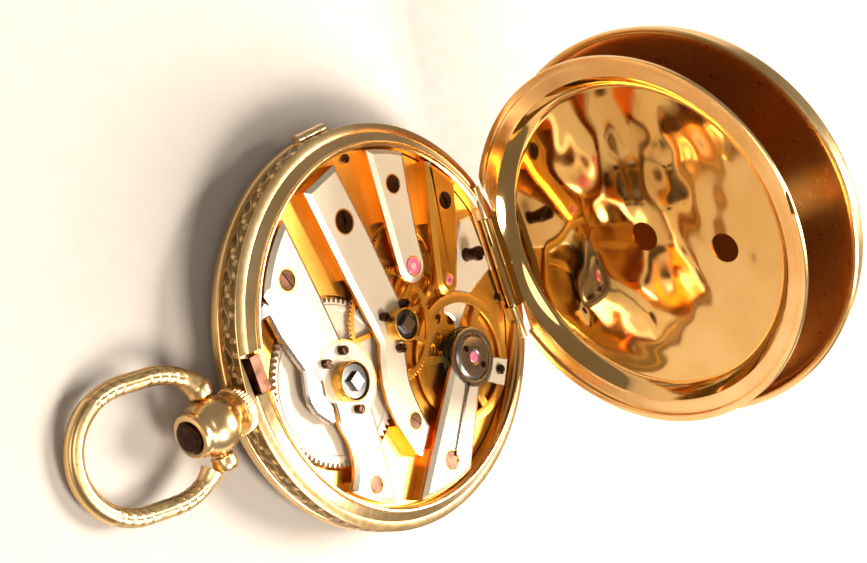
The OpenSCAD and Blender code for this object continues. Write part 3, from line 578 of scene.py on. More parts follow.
@operator("case", "Case middle", "Turned case middle with its ledge, lip and hinge seats")
def WATCH_OT_case(look):
    profile = [(17.6, 4.3), (18.15, 4.3), (18.15, 3.42), (19.0, 3.4), (19.55, 3.42)]
    profile += [(19.62 + 0.3 * math.sin(math.pi * i / 8), 3.5 + 2.05 * i / 8) for i in range(9)]
    profile += [(19.62, 5.68), (19.98, 5.72), (20.0, 5.86), (19.9, 5.93), (19.12, 6.14), (19.08, 6.08),
                (19.03, 6.18), (18.22, 6.58), (18.16, 6.62), (18.15, 7.0), (18.08, 7.05), (17.92, 7.05),
                (17.88, 7.0), (17.86, 6.7), (17.62, 6.6)]
    obj = make_piece("case_body", *turned(soften(profile, 0.05, 2), segments=256), ["gold_case"], "case",
                     ("case_middle", "case_lip"), sharp=40)
    seat = block(-8.55, 8.55, HINGE_Y - 0.75, 22, HINGE_Z - 0.62, 12)
    slot_cut = block(-4.75, -0.8, -19.35, -17.0, FLANGE - 1.3, 12)
    back_cut = rod_x(BACK_Y, BACK_Z, -1.15, 1.15, 1.0)
    back_notch = block(-1.05, 1.05, BACK_Y - 0.55, BACK_Y + 3, BACK_Z, BACK_Z + 3)
    bezel_cut = rod_y(BEZEL_X, BEZEL_Z, -1.0, 1.0, 0.8)
    neck = rod_y(0, PENDANT_Z, -22, -16.5, 1.25)
    cut_piece(obj, [seat, slot_cut, back_cut, back_notch, bezel_cut, neck])
    knuckles = [rod_x(BACK_Y, BACK_Z, s * 2 - 0.85, s * 2 + 0.85, 0.75) for s in (-1, 1)]
    knuckles += [rod_y(BEZEL_X, BEZEL_Z, s * 1.45 - 0.48, s * 1.45 + 0.48, 0.6) for s in (-1, 1)]
    make_piece("case_knuckles", *join_shapes(*knuckles), ["gold_case"], "case")
    # the floor under the dust cover's hinge
    edge = clip_round([(-8.4, 16.5), (8.4, 16.5), (8.4, 21), (-8.4, 21)], 19.0)
    make_piece("hinge_seat", *prism([(p.x, p.y) for p in edge], 5.6, HINGE_Z - 0.6), ["gold_case"], "case")


def band_height(s, v):
    """Relief of a running leaf scroll: s runs round the band and v across it, from -1 to 1."""
    period = 3.7
    phase = 2 * math.pi * s / period
    stem = 0.42 * math.sin(phase)
    height = 0.75 * math.exp(-((v - stem) / 0.09) ** 2)
    for k in (-1, 0, 1):
        for side in (-1, 1):
            n = math.floor(s / period * 2 + 0.5) + k
            cs = n * period / 2 + 0.35 * side
            cv = 0.42 * math.sin(2 * math.pi * cs / period) + 0.42 * side
            lean = 0.9 * side + (0.4 if n % 2 else -0.4)
            ds, dv = (s - cs), (v - cv)
            a = ds * math.cos(lean) + dv * math.sin(lean)
            b = -ds * math.sin(lean) + dv * math.cos(lean)
            d = (a / 0.52) ** 2 + (b / 0.22) ** 2
            if d < 1.4:
                vein = 0.35 * math.exp(-(b / 0.05) ** 2)
                lobes = 0.16 * math.cos(9 * a)
                height = max(height, (1.0 - 0.7 * d + lobes) - vein)
    for k in (-1, 0, 1):
        n = math.floor(s / period * 2) + k
        cs = (n + 0.5) * period / 2
        cv = 0.62 if n % 2 else -0.62
        d = math.hypot(s - cs, (v - cv) * 1.05)
        height = max(height, 0.8 * math.exp(-((d - 0.24) / 0.07) ** 2), math.exp(-(d / 0.09) ** 2))
    border = max(math.exp(-((abs(v) - 0.97) / 0.05) ** 2), 0)
    stipple = 0.3 * noise.noise(Vector((s * 7.5, v * 8.0, 1.3)))
    return max(0.0, min(1.0, max(height, border) + stipple))


@operator("band", "Engraved band", "Leaf scroll engraved round the case band")
def WATCH_OT_band(look):
    segments, rows = 2000, 22
    verts, relief = [], []
    for i in range(segments):
        a = 2 * math.pi * i / segments
        s = a * CASE_R
        for j in range(rows + 1):
            v = -1 + 2 * j / rows
            z = 4.52 + v * 1.03
            h = band_height(s, v)
            r = 19.66 + 0.3 * math.cos(v * math.pi / 2) + look.relief * h
            r = min(r, 20.08)
            if j in (0, rows):
                r = 19.5
            verts.append((r * math.cos(a), r * math.sin(a), z))
            # relief also sets the painted shade: low values, in the engraving's recesses and on the band's
            # two edge rows, are darkened
            relief.append(h ** 1.3 if j not in (0, rows) else 0.0)
    faces = []
    w = rows + 1
    for i in range(segments):
        k = (i + 1) % segments
        faces += [[i * w + j, k * w + j, k * w + j + 1, i * w + j + 1] for j in range(rows)]
        faces.append([i * w + rows, k * w + rows, k * w, i * w])
    obj = make_piece("band_engraving", verts, faces, ["gold_engraved"], "case", attribute=relief, sharp=80)
    cut_piece(obj, [rod_x(BACK_Y, BACK_Z, -3.1, 3.1, 1.0), rod_y(BEZEL_X, BEZEL_Z, -2.1, 2.1, 0.8),
                    rod_y(0, PENDANT_Z, -22, -16.5, 1.25)])


@operator("front", "Front bezel and crystal", "Hinged front bezel holding the crystal")
def WATCH_OT_front(look):
    profile = [(17.5, 1.7), (17.7, 1.35), (18.2, 1.2), (18.9, 1.3), (19.5, 1.75), (19.85, 2.35), (19.9, 2.9),
               (19.85, 3.2), (19.55, 3.32), (18.3, 3.32), (18.0, 3.0), (17.52, 2.5)]
    obj = make_piece("front_ring", *turned(soften(profile, 0.12), segments=256), ["gold_case"], "front",
                     ("front_bezel",), sharp=40)
    cut_piece(obj, [rod_y(BEZEL_X, BEZEL_Z, -2.2, 2.2, 0.75)])
    knuckle = join_shapes(rod_y(BEZEL_X, BEZEL_Z, -0.88, 0.88, 0.6),
                          block(BEZEL_X - 0.25, BEZEL_X + 0.6, -0.85, 0.85, 2.7, 3.5))
    make_piece("front_knuckle", *knuckle, ["gold_case"], "front")
    outer = [(0, 0), (13, 0)]
    outer += [(13 + 4.48 * math.sin(math.radians(i * 6)), 1.9 - 1.9 * math.cos(math.radians(i * 6)))
              for i in range(1, 16)]
    inner = [(12.7 + 4.1 * math.sin(math.radians(i * 6)), 2.2 - 1.4 * math.cos(math.radians(i * 6)))
             for i in range(15, -1, -1)]
    profile = outer + [(17.48, 2.35), (17.0, 2.35)] + inner + [(0, 0.8)]
    make_piece("watch_glass", *turned(profile, segments=192), ["crystal_glass"], "front", ("crystal",),
               sharp=40)


@operator("back", "Back cover", "Domed back cover standing open")
def WATCH_OT_back(look):
    def dome(edge, z0, z1, r):
        return z0 + (z1 - z0) * (1 - (r / edge) ** 2.6) ** (1 / 2.6)
    rim, within = 20.15, 19.5
    edge_z, top_z = FLANGE + 1.9, max(FLANGE + 4.4, POST_TOP + 1.6)
    profile = [(within, FLANGE + 0.2), (within + 0.12, FLANGE + 0.14), (rim - 0.15, FLANGE + 0.13),
               (rim, FLANGE + 0.28), (rim, FLANGE + 0.72), (rim - 0.12, FLANGE + 0.88),
               (rim - 0.3, FLANGE + 1.05)]
    steps = 40
    for i in range(steps + 1):
        r = (rim - 0.3) * math.cos(math.pi / 2 * i / steps)
        profile.append((r if i < steps else 0.0, dome(rim - 0.3, edge_z, top_z, r)))
    for i in range(steps, -1, -1):
        r = within * math.cos(math.pi / 2 * i / steps)
        profile.append((r if i < steps else 0.0, dome(within, edge_z - 0.2, top_z - 0.35, r)))
    profile += [(within, FLANGE + 1.0), (within - 0.12, FLANGE + 0.8), (within - 0.12, FLANGE + 0.6)]
    place = swing(BACK_Y, BACK_Z, BACK_OPEN)
    obj = make_piece("back_shell", *turned(profile, segments=256), ["gold_case", "gold_cover"], "back",
                     ("back_cover",), sharp=35, place=place)
    inverse = place.inverted()
    for poly in obj.data.polygons:
        centre = inverse @ (poly.center / MM)
        normal = inverse.to_3x3() @ poly.normal
        r = math.hypot(centre.x, centre.y)
        if r < 19.49 and (normal.z < 0 or (normal.x * centre.x + normal.y * centre.y) < 0 and r < 19.6):
            poly.material_index = 1
    knuckle = join_shapes(rod_x(BACK_Y, BACK_Z, -1.03, 1.03, 0.75),
                          block(-0.92, 0.92, BACK_Y - 0.4, BACK_Y + 0.45, BACK_Z, BACK_Z + 1.9))
    make_piece("back_knuckle", *knuckle, ["gold_case"], "back", place=place)


@operator("dust", "Dust cover", "Mirror polished dust cover with its key holes")
def WATCH_OT_dust(look):
    base = FLANGE + 0.95
    top = POST_TOP + 0.2
    steps = 16

    def shoulder(r, z0, z1):
        return [(r - 1.5 * i / steps, z0 + (z1 - z0) * math.sin(math.pi / 2 * i / steps))
                for i in range(steps + 1)]
    profile = [(18.35, base + 0.03), (18.45, base), (18.95, base), (19.05, base + 0.08), (19.05, base + 0.42),
               (18.95, base + 0.52), (18.6, base + 0.75)]
    profile += shoulder(17.2, base + 0.9, top + 0.35)
    profile += [(8, top + 0.35), (0, top + 0.35)]
    profile += [(15.3 * i / 36, top) for i in range(37)]
    profile += shoulder(16.9, base + 0.5, top)[::-1]
    profile += [(17.3, base + 0.44), (18.0, base + 0.42), (18.3, base + 0.36)]
    place = swing(HINGE_Y, HINGE_Z, DUST_OPEN)
    verts, faces = turned(profile, segments=256)

    def wave(x, y):
        calm = min(1.0, max(0.0, (15.2 - math.hypot(x, y)) / 3))
        return calm * (0.16 * noise.noise(Vector((x / 6.5, y / 6.5, 3.1)))
                       + 0.05 * noise.noise(Vector((x / 2.6, y / 2.6, 8.4))))
    verts = [(x, y, z + wave(x, y) if abs(z - top) < 1e-6 else z) for x, y, z in verts]
    obj = make_piece("dust_dish", verts, faces, ["gold_mirror", "gold_case"], "dust", ("cuvette",), sharp=35,
                     face_material=lambda poly: int(poly.center.xy.length > 17.05 * MM))
    holes = [turned([(0, 5), (1.5, 5), (1.5, 20), (0, 20)], c, 64) for c in ((0, 0), WIND)]
    beyond_hinge = block(-30, 30, HINGE_Y - 0.6, 40, 0, 30)
    latch_notch = block(-4.8, -0.7, -20, -18.7, 0, base + 0.25)
    cut_piece(obj, holes + [beyond_hinge, latch_notch])
    obj.data.transform(Matrix.Scale(1 / MM, 4))
    obj.data.transform(place)
    obj.data.transform(Matrix.Scale(MM, 4))
    knuckle = join_shapes(rod_x(HINGE_Y, HINGE_Z, -4.8, 4.8, 0.5),
                          block(-4.8, 4.8, HINGE_Y - 0.85, HINGE_Y, HINGE_Z, HINGE_Z + 0.93))
    make_piece("dust_knuckle", *knuckle, ["gold_mirror"], "dust", place=place)
    spans = ((-8.3, -4.86), (4.86, 8.3))
    ends = [rod_x(HINGE_Y, HINGE_Z, *span, 0.5) for span in spans]
    ends += [block(*span, HINGE_Y - 0.5, HINGE_Y + 0.5, HINGE_Z - 0.6, HINGE_Z) for span in spans]
    make_piece("dust_hinge_ends", *join_shapes(*ends), ["gold_case"], "case", ("cuvette_pin",))


@operator("pendant", "Pendant", "Round pendant head, milled collar and push-piece")
def WATCH_OT_pendant(look):
    turn = Matrix(((1, 0, 0, 0), (0, 0, -1, 0), (0, 1, 0, PENDANT_Z), (0, 0, 0, 1)))
    head = [(0, 20.6), (1.55, 20.6), (1.7, 21.0)]
    head += [(BALL_R * math.sin(math.radians(t)), -PENDANT_Y - BALL_R * math.cos(math.radians(t)))
             for t in range(38, 126, 4)]
    head += [(2.2, 25.52), (2.16, 25.7), (2.22, 25.9), (2.22, 26.2), (2.12, 26.4), (1.95, 26.46),
             (1.65, 26.46), (1.55, 26.36), (1.55, 25.72), (0, 25.72)]
    make_piece("pendant_head", *turned(head, segments=96), ["gold_case"], "case", ("pendant",), sharp=35,
               place=turn)
    cap = [(0, 25.75), (1.42, 25.75), (1.47, 26.62), (1.42, 26.76), (1.2, 26.86), (0.6, 26.93), (0, 26.94)]
    make_piece("push_cap", *turned(soften(cap, 0.06, 2), segments=72), ["burnt_steel"], "latch", place=turn)
    ribs, count = [], 44
    for i in range(count):
        a = 2 * math.pi * i / count
        ribs.append((2.28 * math.cos(a), -20.35, PENDANT_Z + 2.28 * math.sin(a)))
    collar = [(1.65, 19.75), (2.15, 19.8), (2.28, 20.0), (2.28, 20.7), (2.15, 20.9), (1.65, 20.95)]
    make_piece("collar_core", *turned(collar, segments=96), ["gold_case"], "case", ("pendant_collar",),
               place=turn)
    rib = turned(soften([(0, -0.5), (0.12, -0.42), (0.12, 0.42), (0, 0.5)], 0.05, 2), segments=10)
    rib = moved(rib, Matrix.Rotation(math.radians(90), 4, "X"))
    repeated("collar_ribs", rib, ribs, [(1, 1, 1)] * count, [(0, 0, 0)] * count, "gold_case", "case")


def bow_path():
    """Centre line of the bow in its own plane, from one end to the other."""
    half, near, far = 6.0, 5.3, 8.05
    end = math.degrees(math.acos(4.1 / half))
    pts = []
    for i in range(13):
        a = math.radians(end * (1 - i / 12))
        pts.append((half * math.cos(a), -near + half * math.sin(a)))
    count = 48
    for i in range(count + 1):
        a = -math.pi * i / count
        pts.append((half * math.cos(a), -far + half * math.sin(a)))
    for i in range(13):
        a = math.radians(180 - end * i / 12)
        pts.append((half * math.cos(a), -near + half * math.sin(a)))
    return [Vector((x, y, 0)) for x, y in pts]


@operator("bow", "Bow", "Bow with engraved leaves on both arms")
def WATCH_OT_bow(look):
    place = Matrix.Translation((0, PENDANT_Y, PENDANT_Z)) @ Matrix.Rotation(math.radians(BOW_DROP), 4, "X")
    lean = place @ Matrix.Rotation(math.radians(-BOW_LEAN), 4, "Z")
    coarse = bow_path()
    path = []
    for i in range(len(coarse) - 1):
        for k in range(6):
            path.append(coarse[i].lerp(coarse[i + 1], k / 6))
    path.append(coarse[-1])
    for _ in range(3):
        inner = [(path[i - 1] + path[i] * 2 + path[i + 1]) / 4 for i in range(1, len(path) - 1)]
        path = [path[0], *inner, path[-1]]
    total = [0.0]
    for i in range(1, len(path)):
        total.append(total[-1] + (path[i] - path[i - 1]).length)
    length = total[-1]
    relief = []

    # wall also fills relief, which sets the painted shade on the bow: darkened between the leaves, along the
    # spine and in the groove, none at the ends
    def wall(i, a):
        s = min(total[i], length - total[i])
        v = abs(math.cos(a))
        if s < 1.3:
            relief.append(1.0)
            return 0.93 + 0.24 * (1 - s / 1.3) ** 1.4
        if s < 11.2:
            fade = min(1, (s - 1.3) / 0.4, (11.2 - s) / 0.5)
            lane = (s / 0.92 - 0.85 * v) % 1.0
            leaf = lane / 0.16 if lane < 0.16 else 1 - 0.5 * (lane - 0.16) / 0.84
            spine = math.exp(-(v / 0.1) ** 2)
            edge = math.exp(-((v - 0.9) / 0.08) ** 2)
            h = fade * leaf * (1 - 0.75 * spine) * (1 - 0.9 * edge)
            relief.append(1.0 - fade * (1.0 - min(1.0, 0.12 + 1.1 * h)))
            return 0.93 - fade * 0.1 + 0.14 * h
        groove = math.exp(-((v - 0.62) / 0.09) ** 2)
        relief.append(1.0 - 0.75 * groove)
        return 0.95 - 0.06 * groove

    verts, faces = open_tube(path, wall, 48)
    make_piece("bow_ring", verts, faces, ["gold_engraved"], "bow", ("bow",), place=lean, sharp=60,
               attribute=relief)
    eye = soften([(0.0, 2.95), (1.2, 2.95), (1.25, 3.9), (1.0, 4.42), (0.0, 4.45)], 0.2)
    eyes = []
    for s in (1, -1):
        turn = Matrix(((0, 0, s, 0), (0, 1, 0, 0), (1, 0, 0, 0), (0, 0, 0, 1)))
        eyes.append(moved(turned(eye, segments=56), turn))
    make_piece("bow_eyes", *join_shapes(*eyes), ["gold_case"], "bow", place=place)


# ---------------------------------------------------------------- movement

BAR_FINISHES = ["silvered_brass", "bright_bevel", "gilt_wall"]  # top, bevel and side
SPRING_EDGE = [(-8, -14.5), (-5, -13.95), (-0.6, -12.45), (0.9, -11.6), (2.4, -11.85), (3.3, -11.3),
               (3.5, -10.9), (4.4, -10.9), (5.6, -11.2)]


def bars():
    """Outline and feet of every bridge and cock on the upper level, in plan."""
    yield ("barrel_bridge", [(-20, -10.1), (-15, -9.5), (-7, -8.2), (-1.6, -7.5), (5.4, -6.5), (9.5, -6.8),
                             (20, -8.2), (20, -16), (12.3, -12.75)] + arc(8.1, -16.3, 5.5, 38, 110, 8)
           + SPRING_EDGE[::-1] + [(-8.9, -14.8), (-9.2, -20), (-20, -20)],
           [[(-20, -10.1), (-15, -9.5), (-7.6, -8.3), (-7.1, -11.5), (-8.9, -14.8), (-9.2, -20), (-20, -20)],
            [(11.3, -7), (20, -8.2), (20, -16), (12.3, -12.75), (11.3, -11.9)]])
    yield ("centre_bridge", [(-17, -0.9), (-9.8, 0.5), (-2, 1.65), (0, 2.1), (1.9, 0.4), (4.9, -0.45),
                             (6, -0.6), (7.5, -0.5), (9.8, -0.2), (10.8, 0), (13, -2.2), (12.6, -2.7),
                             (8.7, -4), (6.5, -4.25), (4.5, -4.1), (2.5, -3.5), (0.9, -2.75), (-1, -3.05),
                             (-6.2, -4.1), (-15.9, -5.8)],
           [[(-17, -0.9), (-9.8, -0.35), (-6.4, -0.3), (-6.4, -4.15), (-15.9, -5.8)],
            [(9, -0.3), (9.8, -0.2), (10.8, 0), (13, -2.2), (12.6, -2.7), (9, -3.9)]])
    yield ("third_cock", [(-18, 9.2), (-11.8, 7.75), (-7.7, 6.95)] + arc(-4.6, 4.8, 1.85, 95, -95, 12)
           + [(-18, 3.9)], [[(-18, 9.2), (-11.8, 7.75), (-9.6, 7.3), (-9.6, 3.4), (-18, 3.9)]])
    yield ("fourth_cock", [(-15, 12.8), (-11, 16), (-9.6, 14.1), (-5.7, 12.7)]
           + arc(-1.25, 8.85, 1.45, 48, -110, 12) + [(-5.5, 8.6), (-9.2, 9.8), (-13.1, 11.2)],
           [[(-15, 12.8), (-11, 16), (-9.6, 14.1), (-7.3, 13.3), (-7.3, 9.2), (-9.2, 9.8), (-13.1, 11.2)]])
    yield ("balance_cock", [(18.5, -5.9), (18.5, 3.6), (17.4, 3.2), (12.3, 6.9), (9.4, 8.9)]
           + arc(6.9, 8.4, 2.5, 10, 255, 16),
           [[(18.5, -5.9), (18.5, 3.6), (17.4, 3.2), (15.6, 4.5), (12.9, -0.7)]])


@operator("bridges", "Bridges and cocks", "Silvered bridges and cocks with polished bevels and gilt sides")
def WATCH_OT_bridges(look):
    for name, outline, feet in bars():
        shape = bar_shape(outline, feet, BAR_TOP, BAR_LOW, PLATE, look.bevel, 0.32)
        obj = make_piece(name + "_bar", *shape, BAR_FINISHES, "case", (name,), sharp=20,
                         face_material=bar_faces)
        floor, over = BAR_TOP - 0.26, BAR_TOP + 1
        sinks = [turned([(0, floor), (r + 0.05, floor), (r + 0.05, over), (0, over)], (x, y), 48)
                 for bar, x, y, r, _ in FLUSH if bar == name]
        if sinks:
            cut_piece(obj, sinks)
    outline = [(-5.6, 16.3), (-5.7, 14.6), (-1.6, 10.9), (1.6, 8.4)] + arc(3.4, 7.8, 1.4, 160, 20, 10) + [
        (4.2, 9.6), (1.5, 13), (0.4, 16.9)]
    shape = bar_shape(outline, [], PLATE + 0.2, PLATE, PLATE, 0.25, 0.12, 17.4)
    make_piece("escape_cock_bar", *shape, BAR_FINISHES, "case", ("escape_cock",), sharp=20,
               face_material=bar_faces)


@operator("click", "Click spring", "Polished steel click and its spring")
def WATCH_OT_click(look):
    outline = [(-8.6, -15.3)] + [(x, y - 0.12) for x, y in SPRING_EDGE if x < 3] + [
        (3.38, -11.38), (3.6, -11.28), (5.3, -11.6), (5.1, -12.3), (3.5, -13.6), (2.3, -14), (1.2, -13.9),
        (-0.8, -13.35), (-4.7, -14.75), (-7, -15.2), (-7, -16.2), (-8.3, -15.75)]
    shape = bar_shape(outline, [], BAR_TOP - 0.05, BAR_LOW + 0.05, PLATE, 0.22, 0.2, 18)
    post = turned([(0, PLATE), (0.5, PLATE), (0.5, BAR_LOW + 0.1), (0, BAR_LOW + 0.1)], (-7.4, -15.45), 32)
    make_piece("click_blade", *join_shapes(shape, post), ["polished_steel"], "case", ("click_spring",),
               sharp=18)


def screw_shape():
    """A screw head of unit radius and unit height with a straight slot across it."""
    rounded = turned(soften([(0, 0), (1, 0), (1, 1), (0, 1)], 0.13, 3), segments=40)
    head = placed("head", plain_mesh("head", *rounded, scale=1, weld=1e-5))
    slot = placed("slot", plain_mesh("slot", *block(-1.5, 1.5, -0.14, 0.14, 0.6, 2), scale=1))
    result = cut_with(head, [slot])
    bpy.data.objects.remove(head)
    return [tuple(v.co) for v in result.vertices], [list(p.vertices) for p in result.polygons]


# bridge, plan position, radius and turn of the slot in degrees
FLUSH = [("barrel_bridge", -9.3, -11.7, 1.05, 20), ("barrel_bridge", 12.65, -9.5, 0.9, 70),
         ("centre_bridge", -11.65, -2.3, 1.15, -15), ("centre_bridge", 9.35, -1.85, 0.85, 40),
         ("third_cock", -12.7, 5.6, 0.9, 65), ("fourth_cock", -8.7, 11.9, 0.9, 10),
         ("balance_cock", 14.95, 1.15, 1.0, 62)]
# the same without the bridge, for the screws that stand above the bridges and hold the winding cap
PROUD = [(2.1, -0.85, 0.45, 84), (-1.5, -1.65, 0.45, -60), (-1.7, 1.45, 0.45, -68)]
CAP = [(-0.75, -8.2, 0.46, 15), (-0.4, -10.75, 0.46, 75), (5.15, -8.65, 0.46, 135)]


@operator("screws", "Screws", "Browned steel screws in the bridges, caps and case")
def WATCH_OT_screws(look):
    head = screw_shape()

    def rows(items, z, height):
        return ([(x, y, z) for x, y, _, _ in items], [(r, r, height) for _, _, r, _ in items],
                [(0, 0, math.radians(a)) for _, _, _, a in items])
    flush = [item[1:] for item in FLUSH]
    p, s, t = rows(flush, BAR_TOP - 0.25, 0.24)
    p2, s2, t2 = rows(PROUD, BAR_TOP, 0.68)
    repeated("bridge_screw_heads", head, p + p2, s + s2, t + t2, "burnt_steel", "case", ("bridge_screws",))
    p, s, t = rows(CAP, BAR_TOP, 0.68)
    repeated("cap_screw_heads", head, p, s, t, "burnt_steel", "case", ("cap_screws",))
    p, s, t = rows([(9.7, 11.8, 0.5, 30)], BAR_LOW + 0.55, 0.35)
    repeated("stud_screw_head", head, p, s, t, "burnt_steel", "case", ("stud_screw",))
    around = [(*spun([(16.9, 0)], (0, 0), a)[0], 0.45, 20) for a in (78, 173)]
    p, s, t = rows(around, PLATE, 0.3)
    repeated("case_screw_heads", head, p, s, t, "burnt_steel", "case", ("case_screws",))
    tall = (-2.2, 13.9)
    p, s, t = rows([(*tall, 0.75, 40)], BAR_TOP - 0.1, 0.45)
    repeated("tall_screw_head", head, p, s, t, "burnt_steel", "case")
    stem = [(0, PLATE + 0.2), (0.75, PLATE + 0.2), (0.62, PLATE + 0.6), (0.62, BAR_TOP - 0.1),
            (0, BAR_TOP - 0.1)]
    make_piece("tall_screw_stem", *turned(soften(stem, 0.1), tall, 48), ["burnt_steel"], "case",
               ("tall_screw",))
    ring = turned(soften([(1.0, 0), (1.12, 0), (1.12, 0.02), (1.0, 0.02)], 0.003, 1), segments=48)
    p, s, t = rows(flush, BAR_TOP, 1.0)
    repeated("screw_sinks", ring, p, s, t, "gilt_wall", "case")


@operator("jewels", "Jewels", "Ruby holes and their settings")
def WATCH_OT_jewels(look):
    stones, settings = [], []
    for (x, y), r in ((THIRD, 0.86), (FOURTH, 0.48)):
        z = BAR_TOP
        profile = [(0.13, z - 0.1), (r, z - 0.1), (r, z + 0.0), (r * 0.8, z + 0.05), (r * 0.45, z + 0.02),
                   (0.16, z - 0.05)]
        stones.append(turned(soften(profile, 0.03, 2), (x, y), 56))
        profile = [(r + 0.02, z - 0.1), (r + 0.16, z - 0.1), (r + 0.17, z + 0.015), (r + 0.08, z + 0.04),
                   (r + 0.01, z + 0.015)]
        settings.append(turned(profile, (x, y), 56))
    make_piece("jewel_stones", *join_shapes(*stones), ["ruby"], "case", ("train_jewels",), sharp=50)
    make_piece("jewel_settings", *join_shapes(*settings), ["gilt_wall"], "case")


@operator("barrel", "Barrel and winding", "Barrel drum, ratchet cap and the two key posts")
def WATCH_OT_barrel(look):
    top = PLATE + 0.4
    profile = [(1.0, top - 0.14), (6.9, top - 0.14), (7.0, top - 0.05), (7.45, top - 0.02), (7.5, top - 0.14),
               (7.5, top - 0.3), (1.0, top - 0.3)]
    make_piece("barrel_lid", *turned(soften(profile, 0.03, 2), WIND, 160), ["silvered_brass"], "barrel",
               ("barrel_cover",))
    z = BAR_TOP
    cap = [(1.6, z - 0.2), (3.9, z - 0.2), (3.93, z - 0.02), (3.88, z + 0.015), (1.63, z + 0.015),
           (1.6, z - 0.03)]
    spring_side = prism([(-8, -18), *SPRING_EDGE, (5.6, -18)], z - 2, z + 2)
    obj = make_piece("ratchet_plate", *turned(cap, WIND, 128), ["silvered_brass"], "case", ("ratchet_cap",))
    cut_piece(obj, [spring_side])
    groove = turned([(3.93, z), (4.02, z), (4.02, z + 0.012), (3.93, z + 0.012)], WIND, 128)
    obj = make_piece("ratchet_plate_line", *groove, ["gilt_wall"], "case")
    cut_piece(obj, [spring_side])
    posts = (("winding", WIND, 1.95, 1.79, "winding_sleeve", 22, 1.74, "winding"),
             ("centre", (0, 0), 1.65, 1.46, "centre_sleeve", 28, 1.41, "hands"))
    for name, centre, outer, bore, node, angle, well, body in posts:
        high = POST_TOP - 0.3
        tube = [(bore, z), (outer, z), (outer, high - 0.05), (outer - 0.08, high + 0.06),
                (bore + 0.05, high + 0.06), (bore, high - 0.02)]
        make_piece(name + "_tube", *turned(soften(tube, 0.04, 2), centre, 72), ["gilt_brass"], "case",
                   (node,))
        # painted shade: a near-black disc fills each post's bore, standing for the dark inside the sleeve
        # round the square
        disc = [(0, z + 0.08), (well, z + 0.08), (well, high - 0.3), (well - 0.1, high - 0.2),
                (0.7, high - 0.16), (0, high - 0.16)]
        make_piece(name + "_well", *turned(disc, centre, 64), ["enamel_black"], body, slot="burnt_steel")
        half, bevel = 0.69, 0.1
        sides = [(-half + bevel, -half), (half - bevel, -half), (half, -half + bevel), (half, half - bevel),
                 (half - bevel, half), (-half + bevel, half), (-half, half - bevel), (-half, -half + bevel)]
        shape = bar_shape(spun(sides, centre, angle), [], POST_TOP + 0.01, high - 0.3, high - 0.3, 0.06,
                          0.06, 30)
        make_piece(name + "_square", *shape, ["polished_steel"], body, sharp=15)


@operator("balance", "Balance", "Balance wheel, hairspring, end-stone cap and regulator")
def WATCH_OT_balance(look):
    low, high = PLATE + 0.28, PLATE + 0.54
    rim = soften([(5.6, low), (6.65, low), (6.65, high), (5.6, high)], 0.07, 3)
    hub = soften([(0.36, low), (0.95, low), (0.95, high), (0.36, high)], 0.05, 2)
    shapes = [turned(rim, BALANCE, 200), turned(hub, BALANCE, 48)]
    arm = [(0.6, -0.45), (3.2, -0.34), (5.8, -0.5), (5.8, 0.5), (3.2, 0.34), (0.6, 0.45)]
    for a in (130, 250, 370):
        shapes.append(bar_shape(spun(arm, BALANCE, a), [], high - 0.03, low + 0.02, low, 0.06, 0.05, 40))
    make_piece("balance_rim", *join_shapes(*shapes), ["gilt_brass"], "balance", ("balance_wheel",), sharp=25)
    turns, count, inner, reach, half = 9.0, 760, 0.72, 2.5, 0.045
    z = PLATE + 0.7
    out = []
    for side in (half, -half):
        part = []
        for i in range(count + 1):
            a = 2 * math.pi * turns * i / count
            r = inner + reach * i / count + side
            part.append((BALANCE[0] + r * math.cos(a), BALANCE[1] + r * math.sin(a)))
        out += part if side > 0 else part[::-1]
    n = count + 1
    verts = [(x, y, z) for x, y in out] + [(x, y, z + 0.18) for x, y in out]
    m = 2 * n
    faces = [[i, i + 1, m - 2 - i, m - 1 - i] for i in range(count)]
    faces += [[m + i for i in f][::-1] for f in faces]
    faces += [[i, (i + 1) % m, m + (i + 1) % m, m + i] for i in range(m)]
    make_piece("hairspring_coil", verts, faces, ["blued_steel"], "case", ("hairspring",), sharp=40)
    z = BAR_TOP
    cap = [(0.62, z), (2.35, z), (2.35, z + 0.1), (2.0, z + 0.36), (1.2, z + 0.42), (0.8, z + 0.42),
           (0.62, z + 0.36)]
    make_piece("endstone_plate", *turned(soften(cap, 0.04, 2), BALANCE, 96), ["polished_steel"], "case",
               ("endstone_cap",), sharp=25)
    stone = [(0, z + 0.05), (0.6, z + 0.05), (0.6, z + 0.33), (0.42, z + 0.4), (0, z + 0.42)]
    make_piece("endstone_gem", *turned(soften(stone, 0.05, 3), BALANCE, 56), ["ruby"], "case", ("endstone",))
    beside = [(x, y, z + 0.3) for x, y in spun([(-1.45, 0), (1.45, 0)], BALANCE, 35)]
    repeated("endstone_screws", screw_shape(), beside, [(0.34, 0.34, 0.2)] * 2, [(0, 0, 0.5), (0, 0, 1.9)],
             "burnt_steel", "case")
    ring = soften([(2.45, z + 0.01), (3.0, z + 0.01), (3.0, z + 0.2), (2.45, z + 0.2)], 0.05, 2)
    tail = [(2.7, -0.3), (4.0, -0.17), (9.7, -0.14), (10.3, 0), (9.7, 0.14), (4.0, 0.17), (2.7, 0.3)]
    tail = bar_shape(spun(tail, BALANCE, -40.1), [], z + 0.2, z + 0.01, z, 0.05, 0.05, 40)
    make_piece("regulator_arm", *join_shapes(turned(ring, BALANCE, 96), tail), ["polished_steel"],
               "regulator", ("regulator",), sharp=20)
    outline = [(8.1, 10.75), (8, 11.3), (9.2, 13.6), (11.5, 11.9), (10.1, 9.7), (9.0, 10.9)]
    make_piece("stud_piece", *bar_shape(outline, [], BAR_LOW + 0.55, BAR_LOW + 0.05, 0, 0.14, 0.12, 30),
               ["silvered_brass", "bright_bevel", "polished_steel"], "case", ("stud_block",), sharp=20,
               face_material=bar_faces)


